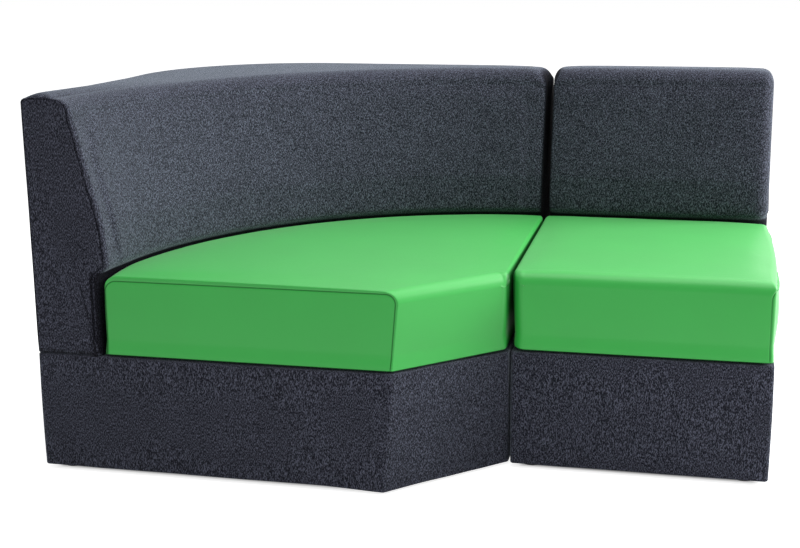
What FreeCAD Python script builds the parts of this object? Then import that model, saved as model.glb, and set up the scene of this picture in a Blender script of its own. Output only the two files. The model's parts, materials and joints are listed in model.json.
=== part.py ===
"""Upholstered banquette bench: a curved-back corner unit linked to a straight unit.

Every piece is an object of one document. Millimetres, +Z up, origin on the floor under the
middle of the whole bench. The open faces of both seats look towards -Y.
"""

import FreeCAD
import Part
import math
import os
import Sketcher

App = FreeCAD
Vector = App.Vector

doc = FreeCAD.newDocument("banquette")
sheet = doc.addObject("Spreadsheet::Sheet", "Sizes")

SIZES = {
    # whole bench
    "unit_depth": 800,
    "straight_width": 555,
    "corner_setback": 212,
    "corner_round": 420,
    "unit_gap": 6,
    "base_top": 272,
    "seat_top": 450,
    "back_top": 833,
    "glide_height": 12,
    "front_lean": 15,
    # upholstery layers
    "cover_thick": 2,
    "base_foam": 6,
    "hem_width": 34,
    "layer_gap": 0.3,
    "dust_thick": 0.8,
    "dust_inset": 14,
    # base carcass
    "panel_thick": 18,
    "deck_thick": 15,
    "block_width": 36,
    "block_length": 130,
    "block_height": 45,
    # seat
    "seat_gap": 1,
    "seat_board": 12,
    "seat_edge_round": 20,
    "seat_crown": 9,
    "seat_draw_in": 5,
    # back
    "back_base_thick": 158,
    "back_waist_thick": 178,
    "back_head_thick": 114,
    "back_cap_thick": 76,
    "back_head_round": 38,
    "back_end_round": 10,
    "frame_base_thick": 112,
    "frame_cap_thick": 60,
    "frame_rear_set": 10,
    "frame_end_set": 14,
    "frame_top_set": 22,
    "skin_thick": 4,
    "rib_thick": 15,
    # feet and fasteners
    "pad_radius": 22,
    "pad_height": 10,
    "pad_bevel": 2,
    "stem_radius": 4,
    "stem_length": 46,
    "tee_radius": 5.2,
    "tee_flange_radius": 9.5,
    "tee_flange_thick": 1.6,
    "tee_length": 11,
    "bolt_head_radius": 7,
    "bolt_head_thick": 4,
    "screw_radius": 2,
    "screw_head_radius": 4.5,
    "screw_head_thick": 2.6,
    "run_gap": 0.1,
    "bolt_gap": 0.4,
    # link plates
    "link_thick": 3,
    "link_width": 26,
    "link_drop": 1.2,
    "link_slot_gap": 1.6,
    "link_head_thick": 2.4,
    "link_head_radius": 8,
    "link_shank_length": 34,
    "foot_travel": 10,
}


class Size:
    """A length that knows both its value and the sheet formula it comes from."""

    def __init__(self, value, formula):
        self.value = value
        self.formula = formula

    def __add__(self, other):
        return Size(self.value + number(other), f"({self.formula} + {formula(other)})")

    def __sub__(self, other):
        return Size(self.value - number(other), f"({self.formula} - {formula(other)})")

    def __mul__(self, other):
        return Size(self.value * number(other), f"({self.formula} * {formula(other)})")

    def __truediv__(self, other):
        return Size(self.value / number(other), f"({self.formula} / {formula(other)})")

    def __radd__(self, other):
        return Size(number(other) + self.value, f"({formula(other)} + {self.formula})")

    def __rsub__(self, other):
        return Size(number(other) - self.value, f"({formula(other)} - {self.formula})")

    def __rmul__(self, other):
        return Size(number(other) * self.value, f"({formula(other)} * {self.formula})")

    def __neg__(self):
        return Size(-self.value, f"(0 - {self.formula})")


def number(size):
    """The plain number of a size."""
    return size.value if isinstance(size, Size) else size


def formula(size):
    """The sheet formula of a size."""
    return size.formula if isinstance(size, Size) else repr(size)


def fill_sheet():
    """Write every driving size to its own named cell."""
    cells = {}
    for row, (name, value) in enumerate(SIZES.items(), start=1):
        sheet.set(f"A{row}", name)
        sheet.set(f"B{row}", str(value))
        sheet.setAlias(f"B{row}", name)
    doc.recompute()
    for name in SIZES:
        cells[name] = Size(float(sheet.get(name)), f"Sizes.{name}")
    return cells


sizes = fill_sheet()
ROOT_TWO = Size(math.sqrt(2), "sqrt(2)")

# Layers, counted inwards from the outside of the upholstery.
PADDING_OUT = sizes["cover_thick"] + sizes["layer_gap"]
PLY_OUT = PADDING_OUT + sizes["base_foam"] + sizes["layer_gap"]
PLY_IN = PLY_OUT + sizes["panel_thick"]

# Levels, counted up from the floor.
HEM = sizes["glide_height"]
PANEL_FOOT = HEM + sizes["cover_thick"]
DECK_TOP = sizes["base_top"] - sizes["cover_thick"]
DECK_FOOT = DECK_TOP - sizes["deck_thick"]
SEAT_BOARD_FOOT = sizes["base_top"] + sizes["cover_thick"]
SEAT_BOARD_TOP = SEAT_BOARD_FOOT + sizes["seat_board"]

# Both units stand in one row frame, whose origin is under the middle of the whole bench.
CORNER_SPAN = sizes["corner_setback"] + sizes["unit_depth"]
CORNER_X = (CORNER_SPAN - sizes["unit_gap"] - sizes["straight_width"]) / 2
STRAIGHT_X = CORNER_X + sizes["unit_gap"]
FRONT_Y = (sizes["corner_setback"] - sizes["unit_depth"]) / 2
REAR_ARC = CORNER_SPAN - sizes["corner_round"]
SEAT_DEPTH = sizes["unit_depth"] - sizes["back_base_thick"] - sizes["seat_gap"]


def lean(level):
    """How far the angled front stands behind its line at the top of the base."""
    return sizes["front_lean"] * (sizes["base_top"] - level) / (sizes["base_top"] - sizes["glide_height"])


# Outlines. Each point is (x, y), or (x, y, centre x, centre y, radius, way) where an arc leads on.

def corner_outline(inset, set_back=0):
    """Outside of the corner unit seen from above, drawn in by inset all round."""
    front = (set_back + inset) * ROOT_TWO
    setback = sizes["corner_setback"]
    side = inset - CORNER_SPAN
    rear = sizes["unit_depth"] - inset
    return [
        (inset - setback - front, inset - setback),
        (-inset, front - inset),
        (-inset, rear),
        (-REAR_ARC, rear, -REAR_ARC, sizes["unit_depth"] - sizes["corner_round"], sizes["corner_round"] - inset, 1),
        (side, sizes["unit_depth"] - sizes["corner_round"]),
        (side, inset - setback),
    ]


def straight_outline(inset, set_back=0):
    """Outside of the straight unit seen from above, drawn in by inset all round."""
    right = sizes["straight_width"] - inset
    rear = sizes["unit_depth"] - inset
    front = inset + set_back
    return [(inset, front), (right, front), (right, rear), (inset, rear)]


def box_outline(left, right, front, rear):
    """A plain rectangle."""
    return [(left, front), (right, front), (right, rear), (left, rear)]


def place(thing, x, y, z=0):
    """Put an object in the row frame by formula."""
    for axis, size in (("x", x), ("y", y), ("z", z)):
        setattr(thing.Placement.Base, axis, number(size))
        thing.setExpression(f"Placement.Base.{axis}", formula(size))


def new_body(name, unit_x):
    """An empty body that stands in its unit's frame."""
    body = doc.addObject("PartDesign::Body", name)
    body.Label = name
    place(body, unit_x, FRONT_Y)
    return body


def origin_plane(body, role):
    """One of the body's own origin planes."""
    return next(plane for plane in body.Origin.OriginFeatures if plane.Role == role)


def new_sketch(body, role, level):
    """An empty sketch on an origin plane of the body, lifted to a level."""
    drawing = body.newObject("Sketcher::SketchObject", f"{body.Name}_outline")
    drawing.AttachmentSupport = [(origin_plane(body, role), "")]
    drawing.MapMode = "FlatFace"
    drawing.AttachmentOffset = App.Placement(Vector(0, 0, number(level)), App.Rotation())
    drawing.setExpression("AttachmentOffset.Base.z", formula(level))
    return drawing


def fix(drawing, kind, size, *where):
    """Add one driving constraint that follows its formula."""
    index = drawing.addConstraint(Sketcher.Constraint(kind, *where, number(size)))
    if isinstance(size, Size):
        drawing.setExpression(f"Constraints[{index}]", size.formula)


def arc_between(start, end, centre_x, centre_y, radius, way):
    """The arc that leads from one corner of an outline to the next."""
    first = math.atan2(start[1] - centre_y, start[0] - centre_x)
    last = math.atan2(end[1] - centre_y, end[0] - centre_x)
    circle = Part.Circle(Vector(centre_x, centre_y, 0), Vector(0, 0, 1), radius)
    if way > 0:
        return Part.ArcOfCircle(circle, first, last)
    return Part.ArcOfCircle(circle, last, first)


def draw(drawing, outline):
    """Draw a closed outline whose corners and radii are all held by formula."""
    plain = [tuple(number(size) for size in point) for point in outline]
    count = len(outline)
    begins = []
    ends = []
    for index, point in enumerate(plain):
        following = plain[(index + 1) % count]
        if len(point) == 2:
            edge = Part.LineSegment(Vector(*point, 0), Vector(*following[:2], 0))
            begins.append(1)
            ends.append(2)
        else:
            edge = arc_between(point, following, *point[2:])
            begins.append(1 if point[5] > 0 else 2)
            ends.append(2 if point[5] > 0 else 1)
        drawing.addGeometry(edge, False)
    for index in range(count):
        following = (index + 1) % count
        joint = (index, ends[index], following, begins[following])
        drawing.addConstraint(Sketcher.Constraint("Coincident", *joint))
        fix(drawing, "DistanceX", outline[index][0], -1, 1, index, begins[index])
        fix(drawing, "DistanceY", outline[index][1], -1, 1, index, begins[index])
        if len(outline[index]) > 2:
            fix(drawing, "Radius", outline[index][4], index)


def draw_circles(drawing, places, radius):
    """Draw equal circles at the given places."""
    for index, (x, y) in enumerate(places):
        centre = Vector(number(x), number(y), 0)
        drawing.addGeometry(Part.Circle(centre, Vector(0, 0, 1), number(radius)), False)
        fix(drawing, "DistanceX", x, -1, 1, index, 3)
        fix(drawing, "DistanceY", y, -1, 1, index, 3)
        fix(drawing, "Radius", radius, index)


def level_sketch(body, level, outline):
    """A horizontal outline at one level."""
    drawing = new_sketch(body, "XY_Plane", level)
    draw(drawing, outline)
    return drawing


def pad(body, foot, top, outline):
    """A straight-sided block between two levels."""
    feature = body.newObject("PartDesign::Pad", f"{body.Name}_pad")
    feature.Profile = level_sketch(body, foot, outline)
    feature.setExpression("Length", formula(top - foot))
    return feature


def loft(body, kind, foot, top, low, high):
    """A block, or a hollow, whose outline changes evenly from its foot to its top."""
    feature = body.newObject(kind, f"{body.Name}_loft")
    feature.Profile = level_sketch(body, foot, low)
    feature.Sections = [level_sketch(body, top, high)]
    feature.Ruled = True
    return feature


def pocket(body, foot, top, outline):
    """A straight-sided hollow cut downwards from its top."""
    feature = body.newObject("PartDesign::Pocket", f"{body.Name}_pocket")
    feature.Profile = level_sketch(body, top, outline)
    feature.setExpression("Length", formula(top - foot))
    return feature


def drill(body, foot, top, places, radius):
    """Round holes cut downwards from a level."""
    drawing = new_sketch(body, "XY_Plane", top)
    draw_circles(drawing, places, radius)
    feature = body.newObject("PartDesign::Pocket", f"{body.Name}_holes")
    feature.Profile = drawing
    feature.setExpression("Length", formula(top - foot))
    return feature


def board(name, unit_x, foot, top, outline):
    """A flat board lying or standing between two levels."""
    body = new_body(name, unit_x)
    pad(body, foot, top, outline)
    return body


def turned(name, profile):
    """A round piece turned about its own upright axis, from (radius, level) corners."""
    body = doc.addObject("PartDesign::Body", name)
    drawing = new_sketch(body, "XZ_Plane", 0)
    draw(drawing, profile)
    feature = body.newObject("PartDesign::Revolution", f"{name}_turn")
    feature.Profile = drawing
    feature.ReferenceAxis = (drawing, ["V_Axis"])
    feature.Angle = 360
    return body


def group(name, pieces):
    """Like pieces kept together, each a solid of its own."""
    together = doc.addObject("Part::Compound", name)
    together.Label = name
    together.Links = pieces
    return together


def leg(long_side, short_side):
    """The other short side of a right-angled triangle."""
    value = math.sqrt(number(long_side) ** 2 - number(short_side) ** 2)
    long_text = formula(long_side)
    short_text = formula(short_side)
    return Size(value, f"sqrt({long_text} * {long_text} - {short_text} * {short_text})")


def swap(places):
    """The same places seen from the other end of the corner unit, which is alike both ways."""
    setback = sizes["corner_setback"]
    return [(-(y + setback), -(x + setback)) for x, y in places]


# Base of either unit

def base_cover(name, unit_x, outline, slope):
    """Fabric sleeve round the base, turned in over the deck and under the panels."""
    body = new_body(name, unit_x)
    top = sizes["base_top"]
    layer = sizes["cover_thick"]
    hem = sizes["hem_width"]
    loft(body, "PartDesign::AdditiveLoft", HEM, top, outline(0, slope(HEM)), outline(0, slope(top)))
    low = outline(layer, slope(PANEL_FOOT))
    high = outline(layer, slope(DECK_TOP))
    loft(body, "PartDesign::SubtractiveLoft", PANEL_FOOT, DECK_TOP, low, high)
    pocket(body, HEM, top, outline(hem, slope(HEM)))
    return body


def base_padding(name, unit_x, outline, slope):
    """Thin foam wrapped round the upright panels, under the fabric."""
    body = new_body(name, unit_x)
    outside = (outline(PADDING_OUT, slope(PANEL_FOOT)), outline(PADDING_OUT, slope(DECK_TOP)))
    loft(body, "PartDesign::AdditiveLoft", PANEL_FOOT, DECK_TOP, *outside)
    within = PLY_OUT - sizes["layer_gap"]
    inside = (outline(within, slope(PANEL_FOOT)), outline(within, slope(DECK_TOP)))
    loft(body, "PartDesign::SubtractiveLoft", PANEL_FOOT, DECK_TOP, *inside)
    return body


def deck(name, unit_x, outline, slope, bolts, screws):
    """Top board of the base, drilled for the back bolts and the seat screws."""
    body = board(name, unit_x, DECK_FOOT, DECK_TOP, outline(PLY_OUT, slope(DECK_FOOT)))
    drill(body, DECK_FOOT, DECK_TOP, bolts, sizes["stem_radius"] + sizes["bolt_gap"])
    drill(body, DECK_FOOT, DECK_TOP, screws, sizes["screw_radius"] + sizes["bolt_gap"])
    return body


def dust_cover(name, unit_x, outline, slope, feet, links):
    """Black cloth stapled under the base, cut out round the stems and link bolts."""
    foot = HEM - sizes["dust_thick"]
    body = board(name, unit_x, foot, HEM, outline(sizes["dust_inset"], slope(HEM)))
    drill(body, foot, HEM, feet, sizes["stem_radius"] + sizes["bolt_gap"])
    drill(body, foot, HEM, links, LINK_COLLAR + sizes["bolt_gap"])
    return body


def block(name, unit_x, outline, feet, links):
    """A wooden corner block, bored for its foot and, where it carries one, a link bolt."""
    top = PANEL_FOOT + sizes["block_height"]
    body = board(name, unit_x, PANEL_FOOT, top, outline)
    drill(body, PANEL_FOOT, top, feet, sizes["stem_radius"] + sizes["bolt_gap"])
    nut_top = PANEL_FOOT + sizes["tee_length"]
    drill(body, PANEL_FOOT, nut_top, feet, sizes["tee_radius"] + sizes["run_gap"])
    if links:
        drill(body, PANEL_FOOT, top, links, sizes["stem_radius"] + sizes["run_gap"])
    return body


def upright(level):
    """The straight unit's faces stand plumb at every level."""
    return level * 0


# Places of feet and fasteners, in each unit's own frame

FOOT_SET = PLY_IN + sizes["block_width"] / 2
LINK_COLLAR = sizes["stem_radius"] * 1.6
LINK_FROM_FOOT = sizes["block_length"] / 2
FRONT_FOOT_Y = (FOOT_SET + sizes["front_lean"]) * ROOT_TWO - FOOT_SET
FRONT_LINK_Y = FRONT_FOOT_Y + LINK_FROM_FOOT
REAR_FOOT_Y = sizes["unit_depth"] - FOOT_SET
REAR_LINK_Y = REAR_FOOT_Y - LINK_FROM_FOOT

LINK_END_FEET = [(-FOOT_SET, FRONT_FOOT_Y), (-FOOT_SET, REAR_FOOT_Y)]
DIAGONAL_SET = (sizes["corner_round"] - FOOT_SET) / ROOT_TWO
ROUND_FOOT = (-(REAR_ARC + DIAGONAL_SET), sizes["unit_depth"] - sizes["corner_round"] + DIAGONAL_SET)
CORNER_FEET = LINK_END_FEET + swap(LINK_END_FEET) + [ROUND_FOOT]
CORNER_FOOT_NAMES = ("link_front", "link_rear", "open_front", "open_outer", "round")
CORNER_LINKS = [(-FOOT_SET, FRONT_LINK_Y), (-FOOT_SET, REAR_LINK_Y)]

RIGHT_SET = sizes["straight_width"] - FOOT_SET
STRAIGHT_FEET = [(x, y) for y in (FOOT_SET, REAR_FOOT_Y) for x in (FOOT_SET, RIGHT_SET)]
STRAIGHT_FOOT_NAMES = ("front_left", "front_right", "rear_left", "rear_right")
STRAIGHT_LINKS = [(FOOT_SET, FRONT_LINK_Y), (FOOT_SET, REAR_LINK_Y)]

BOLT_Y = sizes["unit_depth"] - (sizes["frame_rear_set"] + sizes["frame_base_thick"]) / 2
CORNER_BOLTS = [(-sizes["corner_setback"] / 2, BOLT_Y), (-sizes["corner_setback"] * 2, BOLT_Y)]
CORNER_BOLTS = CORNER_BOLTS + swap(CORNER_BOLTS)
STRAIGHT_BOLTS = [(sizes["straight_width"] * share, BOLT_Y) for share in (0.25, 0.75)]

CORNER_SCREWS = [(-sizes["corner_setback"] / 2, SEAT_DEPTH * share) for share in (0.25, 0.75)]
CORNER_SCREWS = CORNER_SCREWS + swap(CORNER_SCREWS)
STRAIGHT_SCREWS = [
    (sizes["straight_width"] * across, SEAT_DEPTH * along)
    for across in (0.25, 0.75)
    for along in (0.25, 0.75)
]


def front_line(x, inset, level):
    """Where the angled front, drawn in by inset, crosses a plane of constant x."""
    return x + (inset + lean(level)) * ROOT_TWO


def lean_edge(x, inset, level):
    """The point of the angled front, drawn in by inset, at x."""
    return (x, front_line(x, inset, level))


def corner_base():
    """Cover, padding, plywood box, blocks and cloth of the corner unit's base."""
    setback = sizes["corner_setback"]
    depth = sizes["unit_depth"]
    levels = (PANEL_FOOT, DECK_FOOT)
    side_out = PLY_OUT - CORNER_SPAN
    side_in = PLY_IN - CORNER_SPAN
    arc_y = depth - sizes["corner_round"]

    def standing(name, outlines):
        body = new_body(name, CORNER_X)
        loft(body, "PartDesign::AdditiveLoft", PANEL_FOOT, DECK_FOOT, *outlines)
        return body

    def front_panel(level):
        inner = [lean_edge(-PLY_IN, inset, level) for inset in (PLY_OUT, PLY_IN)]
        return inner + swap(list(reversed(inner)))

    def link_end(level):
        front = [lean_edge(x, PLY_OUT, level) for x in (-PLY_IN, -PLY_OUT)]
        return front + [(-PLY_OUT, depth - PLY_OUT), (-PLY_IN, depth - PLY_OUT)]

    def open_end(level):
        return swap(link_end(level))[:2] + [(side_out, PLY_OUT - setback), (side_out, PLY_IN - setback)]

    def link_block(level):
        end_x = -(PLY_IN + sizes["block_width"])
        rear = front_line(-PLY_IN, PLY_IN, level) + sizes["block_length"]
        front = [lean_edge(x, PLY_IN, PANEL_FOOT) for x in (end_x, -PLY_IN)]
        return front + [(-PLY_IN, rear), (end_x, rear)]

    pieces = [
        base_cover("corner_base_cover", CORNER_X, corner_outline, lean),
        base_padding("corner_base_padding", CORNER_X, corner_outline, lean),
        deck("corner_base_deck", CORNER_X, corner_outline, lean, CORNER_BOLTS, CORNER_SCREWS),
        standing("corner_base_front_panel", [front_panel(level) for level in levels]),
        standing("corner_base_link_end_panel", [link_end(level) for level in levels]),
        standing("corner_base_open_end_panel", [open_end(level) for level in levels]),
    ]
    rear_panel = box_outline(-REAR_ARC, -PLY_IN, depth - PLY_IN, depth - PLY_OUT)
    side_panel = box_outline(side_out, side_in, PLY_IN - setback, arc_y)
    bent_panel = [
        (-REAR_ARC, depth - PLY_OUT, -REAR_ARC, arc_y, sizes["corner_round"] - PLY_OUT, 1),
        (side_out, arc_y),
        (side_in, arc_y, -REAR_ARC, arc_y, sizes["corner_round"] - PLY_IN, -1),
        (-REAR_ARC, depth - PLY_IN),
    ]
    rail_rear = arc_y - sizes["panel_thick"]
    rail = box_outline(side_in, -PLY_IN, rail_rear - sizes["panel_thick"], rail_rear)
    for name, outline in (
        ("corner_base_rear_panel", rear_panel),
        ("corner_base_side_panel", side_panel),
        ("corner_base_bent_panel", bent_panel),
        ("corner_base_cross_rail", rail),
    ):
        pieces.append(board(name, CORNER_X, PANEL_FOOT, DECK_FOOT, outline))

    front_block = link_block(PANEL_FOOT)
    end_x = -(PLY_IN + sizes["block_width"])
    rear_y = depth - PLY_IN
    rear_block = box_outline(end_x, -PLY_IN, rear_y - sizes["block_length"], rear_y)
    blocks = [
        block("link_front_block", CORNER_X, front_block, CORNER_FEET[:1], CORNER_LINKS[:1]),
        block("link_rear_block", CORNER_X, rear_block, CORNER_FEET[1:2], CORNER_LINKS[1:]),
        block("open_front_block", CORNER_X, swap(front_block), CORNER_FEET[2:3], []),
        block("open_outer_block", CORNER_X, swap(rear_block), CORNER_FEET[3:4], []),
        round_block(),
    ]
    pieces.append(group("corner_base_blocks", blocks))
    cloth = ("corner_dust_cover", CORNER_X, corner_outline, lean, CORNER_FEET, CORNER_LINKS)
    pieces.append(dust_cover(*cloth))
    return pieces


def round_block():
    """The block behind the rounded corner, square to the diagonal of the unit."""
    half = sizes["block_width"] / 2
    reach = sizes["corner_round"] - PLY_IN
    middle = sizes["corner_round"] - FOOT_SET
    outer = leg(reach, half) - sizes["layer_gap"]
    outline = box_outline(-half, half, middle - half, outer)
    body = block("round_block", CORNER_X, outline, [(upright(half), middle)], [])
    turn = App.Rotation(Vector(0, 0, 1), 45)
    body.Placement = App.Placement(body.Placement.Base, turn)
    place(body, CORNER_X - REAR_ARC, FRONT_Y + sizes["unit_depth"] - sizes["corner_round"])
    return body


def straight_base():
    """Cover, padding, plywood box, blocks and cloth of the straight unit's base."""
    width = sizes["straight_width"]
    depth = sizes["unit_depth"]
    name = "straight_base_deck"
    pieces = [
        base_cover("straight_base_cover", STRAIGHT_X, straight_outline, upright),
        base_padding("straight_base_padding", STRAIGHT_X, straight_outline, upright),
        deck(name, STRAIGHT_X, straight_outline, upright, STRAIGHT_BOLTS, STRAIGHT_SCREWS),
    ]
    rail_rear = depth - sizes["corner_round"] - sizes["panel_thick"]
    for name, outline in (
        ("straight_base_left_panel", box_outline(PLY_OUT, PLY_IN, PLY_OUT, depth - PLY_OUT)),
        ("straight_base_right_panel", box_outline(width - PLY_IN, width - PLY_OUT, PLY_OUT, depth - PLY_OUT)),
        ("straight_base_front_panel", box_outline(PLY_IN, width - PLY_IN, PLY_OUT, PLY_IN)),
        ("straight_base_rear_panel", box_outline(PLY_IN, width - PLY_IN, depth - PLY_IN, depth - PLY_OUT)),
        ("straight_base_cross_rail", box_outline(PLY_IN, width - PLY_IN, rail_rear - sizes["panel_thick"], rail_rear)),
    ):
        pieces.append(board(name, STRAIGHT_X, PANEL_FOOT, DECK_FOOT, outline))

    blocks = []
    for index, (x, y) in enumerate(STRAIGHT_FEET):
        half = sizes["block_width"] / 2
        near = PLY_IN if index < 2 else depth - PLY_IN - sizes["block_length"]
        outline = box_outline(x - half, x + half, near, near + sizes["block_length"])
        links = STRAIGHT_LINKS[index // 2:index // 2 + 1] if index % 2 == 0 else []
        name = f"{STRAIGHT_FOOT_NAMES[index]}_block"
        blocks.append(block(name, STRAIGHT_X, outline, [(x, y)], links))
    pieces.append(group("straight_base_blocks", blocks))
    cloth = ("straight_dust_cover", STRAIGHT_X, straight_outline, upright, STRAIGHT_FEET, STRAIGHT_LINKS)
    pieces.append(dust_cover(*cloth))
    return pieces


# Feet, bolts and links

def foot_profile():
    """Half section of a foot: a low bevelled pad under a threaded stem."""
    bevel = sizes["pad_bevel"]
    shoulder = sizes["pad_height"]
    tip = shoulder + sizes["stem_length"]
    return [
        (upright(bevel), upright(bevel)),
        (sizes["pad_radius"] - bevel, upright(bevel)),
        (sizes["pad_radius"], bevel),
        (sizes["pad_radius"], shoulder - bevel),
        (sizes["pad_radius"] - bevel, shoulder),
        (sizes["stem_radius"], shoulder),
        (sizes["stem_radius"], tip),
        (upright(tip), tip),
    ]


def bolt_profile(foot, head_radius, head_thick, shank_radius, tip):
    """Half section of a bolt that stands head down."""
    return [
        (upright(foot), foot),
        (head_radius, foot),
        (head_radius, foot + head_thick),
        (shank_radius, foot + head_thick),
        (shank_radius, tip),
        (upright(foot), tip),
    ]


def tee_profile(face, up):
    """Half section of a tee nut whose flange lies on a face and whose barrel goes into it."""
    bore = sizes["stem_radius"] + sizes["run_gap"]
    flange = face - sizes["tee_flange_thick"] * up
    barrel = face + sizes["tee_length"] * up
    return [
        (bore, flange),
        (sizes["tee_flange_radius"], flange),
        (sizes["tee_flange_radius"], face),
        (sizes["tee_radius"], face),
        (sizes["tee_radius"], barrel),
        (bore, barrel),
    ]


def link_profile():
    """Half section of a shouldered link bolt: head, journal, collar and thread."""
    collar_foot = LINK_TOP + sizes["run_gap"]
    head_top = LINK_TOP - sizes["link_thick"] - sizes["run_gap"]
    head_foot = head_top - sizes["link_head_thick"]
    tip = head_top + sizes["link_shank_length"]
    return [
        (upright(tip), head_foot),
        (sizes["link_head_radius"], head_foot),
        (sizes["link_head_radius"], head_top),
        (sizes["stem_radius"], head_top),
        (sizes["stem_radius"], collar_foot),
        (LINK_COLLAR, collar_foot),
        (LINK_COLLAR, PANEL_FOOT),
        (sizes["stem_radius"], PANEL_FOOT),
        (sizes["stem_radius"], tip),
        (upright(tip), tip),
    ]


LINK_TOP = HEM - sizes["dust_thick"] - sizes["link_drop"]


def copies(name, profile, units):
    """One turned piece at each place of each unit, kept as one node."""
    pieces = []
    for unit_x, places in units:
        for x, y in places:
            piece = turned(f"{name}_{len(pieces) + 1}", profile)
            place(piece, unit_x + x, FRONT_Y + y)
            pieces.append(piece)
    return group(name, pieces)


def feet():
    """Nine levelling feet, each free to screw down by itself."""
    made = []
    for unit, unit_x, names, places in (
        ("corner", CORNER_X, CORNER_FOOT_NAMES, CORNER_FEET),
        ("straight", STRAIGHT_X, STRAIGHT_FOOT_NAMES, STRAIGHT_FEET),
    ):
        for name, (x, y) in zip(names, places):
            foot = turned(f"{unit}_{name}_foot", foot_profile())
            foot.Label = foot.Name
            place(foot, unit_x + x, FRONT_Y + y)
            made.append(foot)
    return made


def fasteners():
    """Bolts, screws and nuts, each kind a node of separate solids."""
    both_feet = [(CORNER_X, CORNER_FEET), (STRAIGHT_X, STRAIGHT_FEET)]
    both_bolts = [(CORNER_X, CORNER_BOLTS), (STRAIGHT_X, STRAIGHT_BOLTS)]
    both_screws = [(CORNER_X, CORNER_SCREWS), (STRAIGHT_X, STRAIGHT_SCREWS)]
    plate_top = SEAT_BOARD_FOOT + sizes["deck_thick"]
    bolt_foot = DECK_FOOT - sizes["bolt_head_thick"]
    bolt_tip = plate_top + sizes["bolt_head_thick"]
    bolt_head = (sizes["bolt_head_radius"], sizes["bolt_head_thick"])
    bolt = bolt_profile(bolt_foot, *bolt_head, sizes["stem_radius"], bolt_tip)
    screw_foot = DECK_FOOT - sizes["screw_head_thick"]
    screw_tip = SEAT_BOARD_TOP - sizes["cover_thick"]
    screw_head = (sizes["screw_head_radius"], sizes["screw_head_thick"])
    screw = bolt_profile(screw_foot, *screw_head, sizes["screw_radius"], screw_tip)
    return [
        copies("foot_tee_nuts", tee_profile(PANEL_FOOT, 1), both_feet),
        copies("back_bolts", bolt, both_bolts),
        copies("back_tee_nuts", tee_profile(plate_top, -1), both_bolts),
        copies("seat_screws", screw, both_screws),
        copies("link_pivot_bolts", link_profile(), [(CORNER_X, CORNER_LINKS)]),
        copies("link_studs", link_profile(), [(STRAIGHT_X, STRAIGHT_LINKS)]),
    ]


def link_plate(name, pivot_y, way):
    """A flat hook that turns on the corner unit's bolt and catches the straight unit's stud."""
    body = new_body(name, CORNER_X)
    place(body, CORNER_X - FOOT_SET, FRONT_Y + pivot_y)
    reach = FOOT_SET * 2 + sizes["unit_gap"]
    half = sizes["link_width"] / 2
    zero = upright(half)
    foot = LINK_TOP - sizes["link_thick"]
    plate = [
        (zero, -half),
        (reach, -half, reach, zero, half, 1),
        (reach + half, zero, reach, zero, half, 1),
        (reach, half),
        (zero, half, zero, zero, half, 1),
        (-half, zero, zero, zero, half, 1),
    ]
    pad(body, foot, LINK_TOP, plate)
    drill(body, foot, LINK_TOP, [(zero, zero)], sizes["stem_radius"] + sizes["run_gap"])
    slot = sizes["stem_radius"] + sizes["link_slot_gap"]
    mouth = half * (way * -1.5)
    hook = [
        (reach - slot, mouth),
        (reach + slot, mouth),
        (reach + slot, zero, reach, zero, slot, way),
        (reach, slot * way, reach, zero, slot, way),
        (reach - slot, zero),
    ]
    pocket(body, foot, LINK_TOP, hook)
    return body


# Soft forms. Each is a ruled loft through level wires of lines and short arcs. The corner unit's
# wires are drawn about the centre of its curved back, where u runs along the row and v backwards.

ROUND_SHARES = ((0, 1), (0.08, 0.61), (0.29, 0.29), (0.61, 0.08), (1, 0))
CROWN_SHARES = ((0.09, 0.4), (0.22, 0.75), (0.36, 1))
BACK_TAPER_SHARES = ((0, 1), (0.17, 0.94), (0.34, 0.74), (0.53, 0.53), (0.74, 0.31), (0.9, 0.16))
WAIST_SHARE = 0.15
HALF_ARC_COS = math.cos(math.radians(45))


def plain(name):
    """A driving size as a plain number, read from its cell."""
    return sizes[name].value


def bend(centre, start, end, level, outward=1):
    """A short arc about a centre, from start to end, bulging away from the centre."""
    radius = math.dist(centre, start)
    middle_x = (start[0] + end[0]) / 2 - centre[0]
    middle_y = (start[1] + end[1]) / 2 - centre[1]
    stretch = radius / math.hypot(middle_x, middle_y) * outward
    middle = (centre[0] + middle_x * stretch, centre[1] + middle_y * stretch)
    return Part.Arc(*[Vector(x, y, level) for x, y in (start, middle, end)]).toShape()


def ring(level, corners):
    """A closed wire through rounded corners, each (start, end, centre), and any arcs between them."""
    edges = []
    for index, (start, end, centre, onward) in enumerate(corners):
        edges.append(bend(centre, start, end, level))
        following = corners[(index + 1) % len(corners)][0]
        if onward:
            edges.append(bend(onward, end, following, level))
        else:
            edges.append(Part.LineSegment(Vector(*end, level), Vector(*following, level)).toShape())
    return Part.Wire(edges)


def mirrored(corner, onward=None):
    """The same rounded corner at the other end of the corner unit."""
    start, end, centre = [(-v, -u) for u, v in corner[:3]]
    return (end, start, centre, onward)


def corner_seat_wire(level, inset, rounding):
    """The corner cushion at one level: two straight ends, a curved rear and the angled front."""
    radius = SEAT_DEPTH.value + plain("corner_setback") - inset
    set_back = lean(level).value if level > plain("base_top") else 0
    front = plain("corner_setback") + (inset + set_back) * math.sqrt(2)
    tangent = rounding * math.tan(math.radians(22.5))
    tip = (-inset, front - inset)
    slide = tangent * HALF_ARC_COS
    near = ((tip[0] - slide, tip[1] - slide), (tip[0], tip[1] + tangent), (tip[0] - rounding, tip[1] + tangent), None)
    across = inset + rounding
    rise = math.sqrt((radius - rounding) ** 2 - across ** 2)
    scale = radius / (radius - rounding)
    far = ((-inset, rise), (-across * scale, rise * scale), (-across, rise), (0, 0))
    return ring(level, [near, far, mirrored(far), mirrored(near)])


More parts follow.
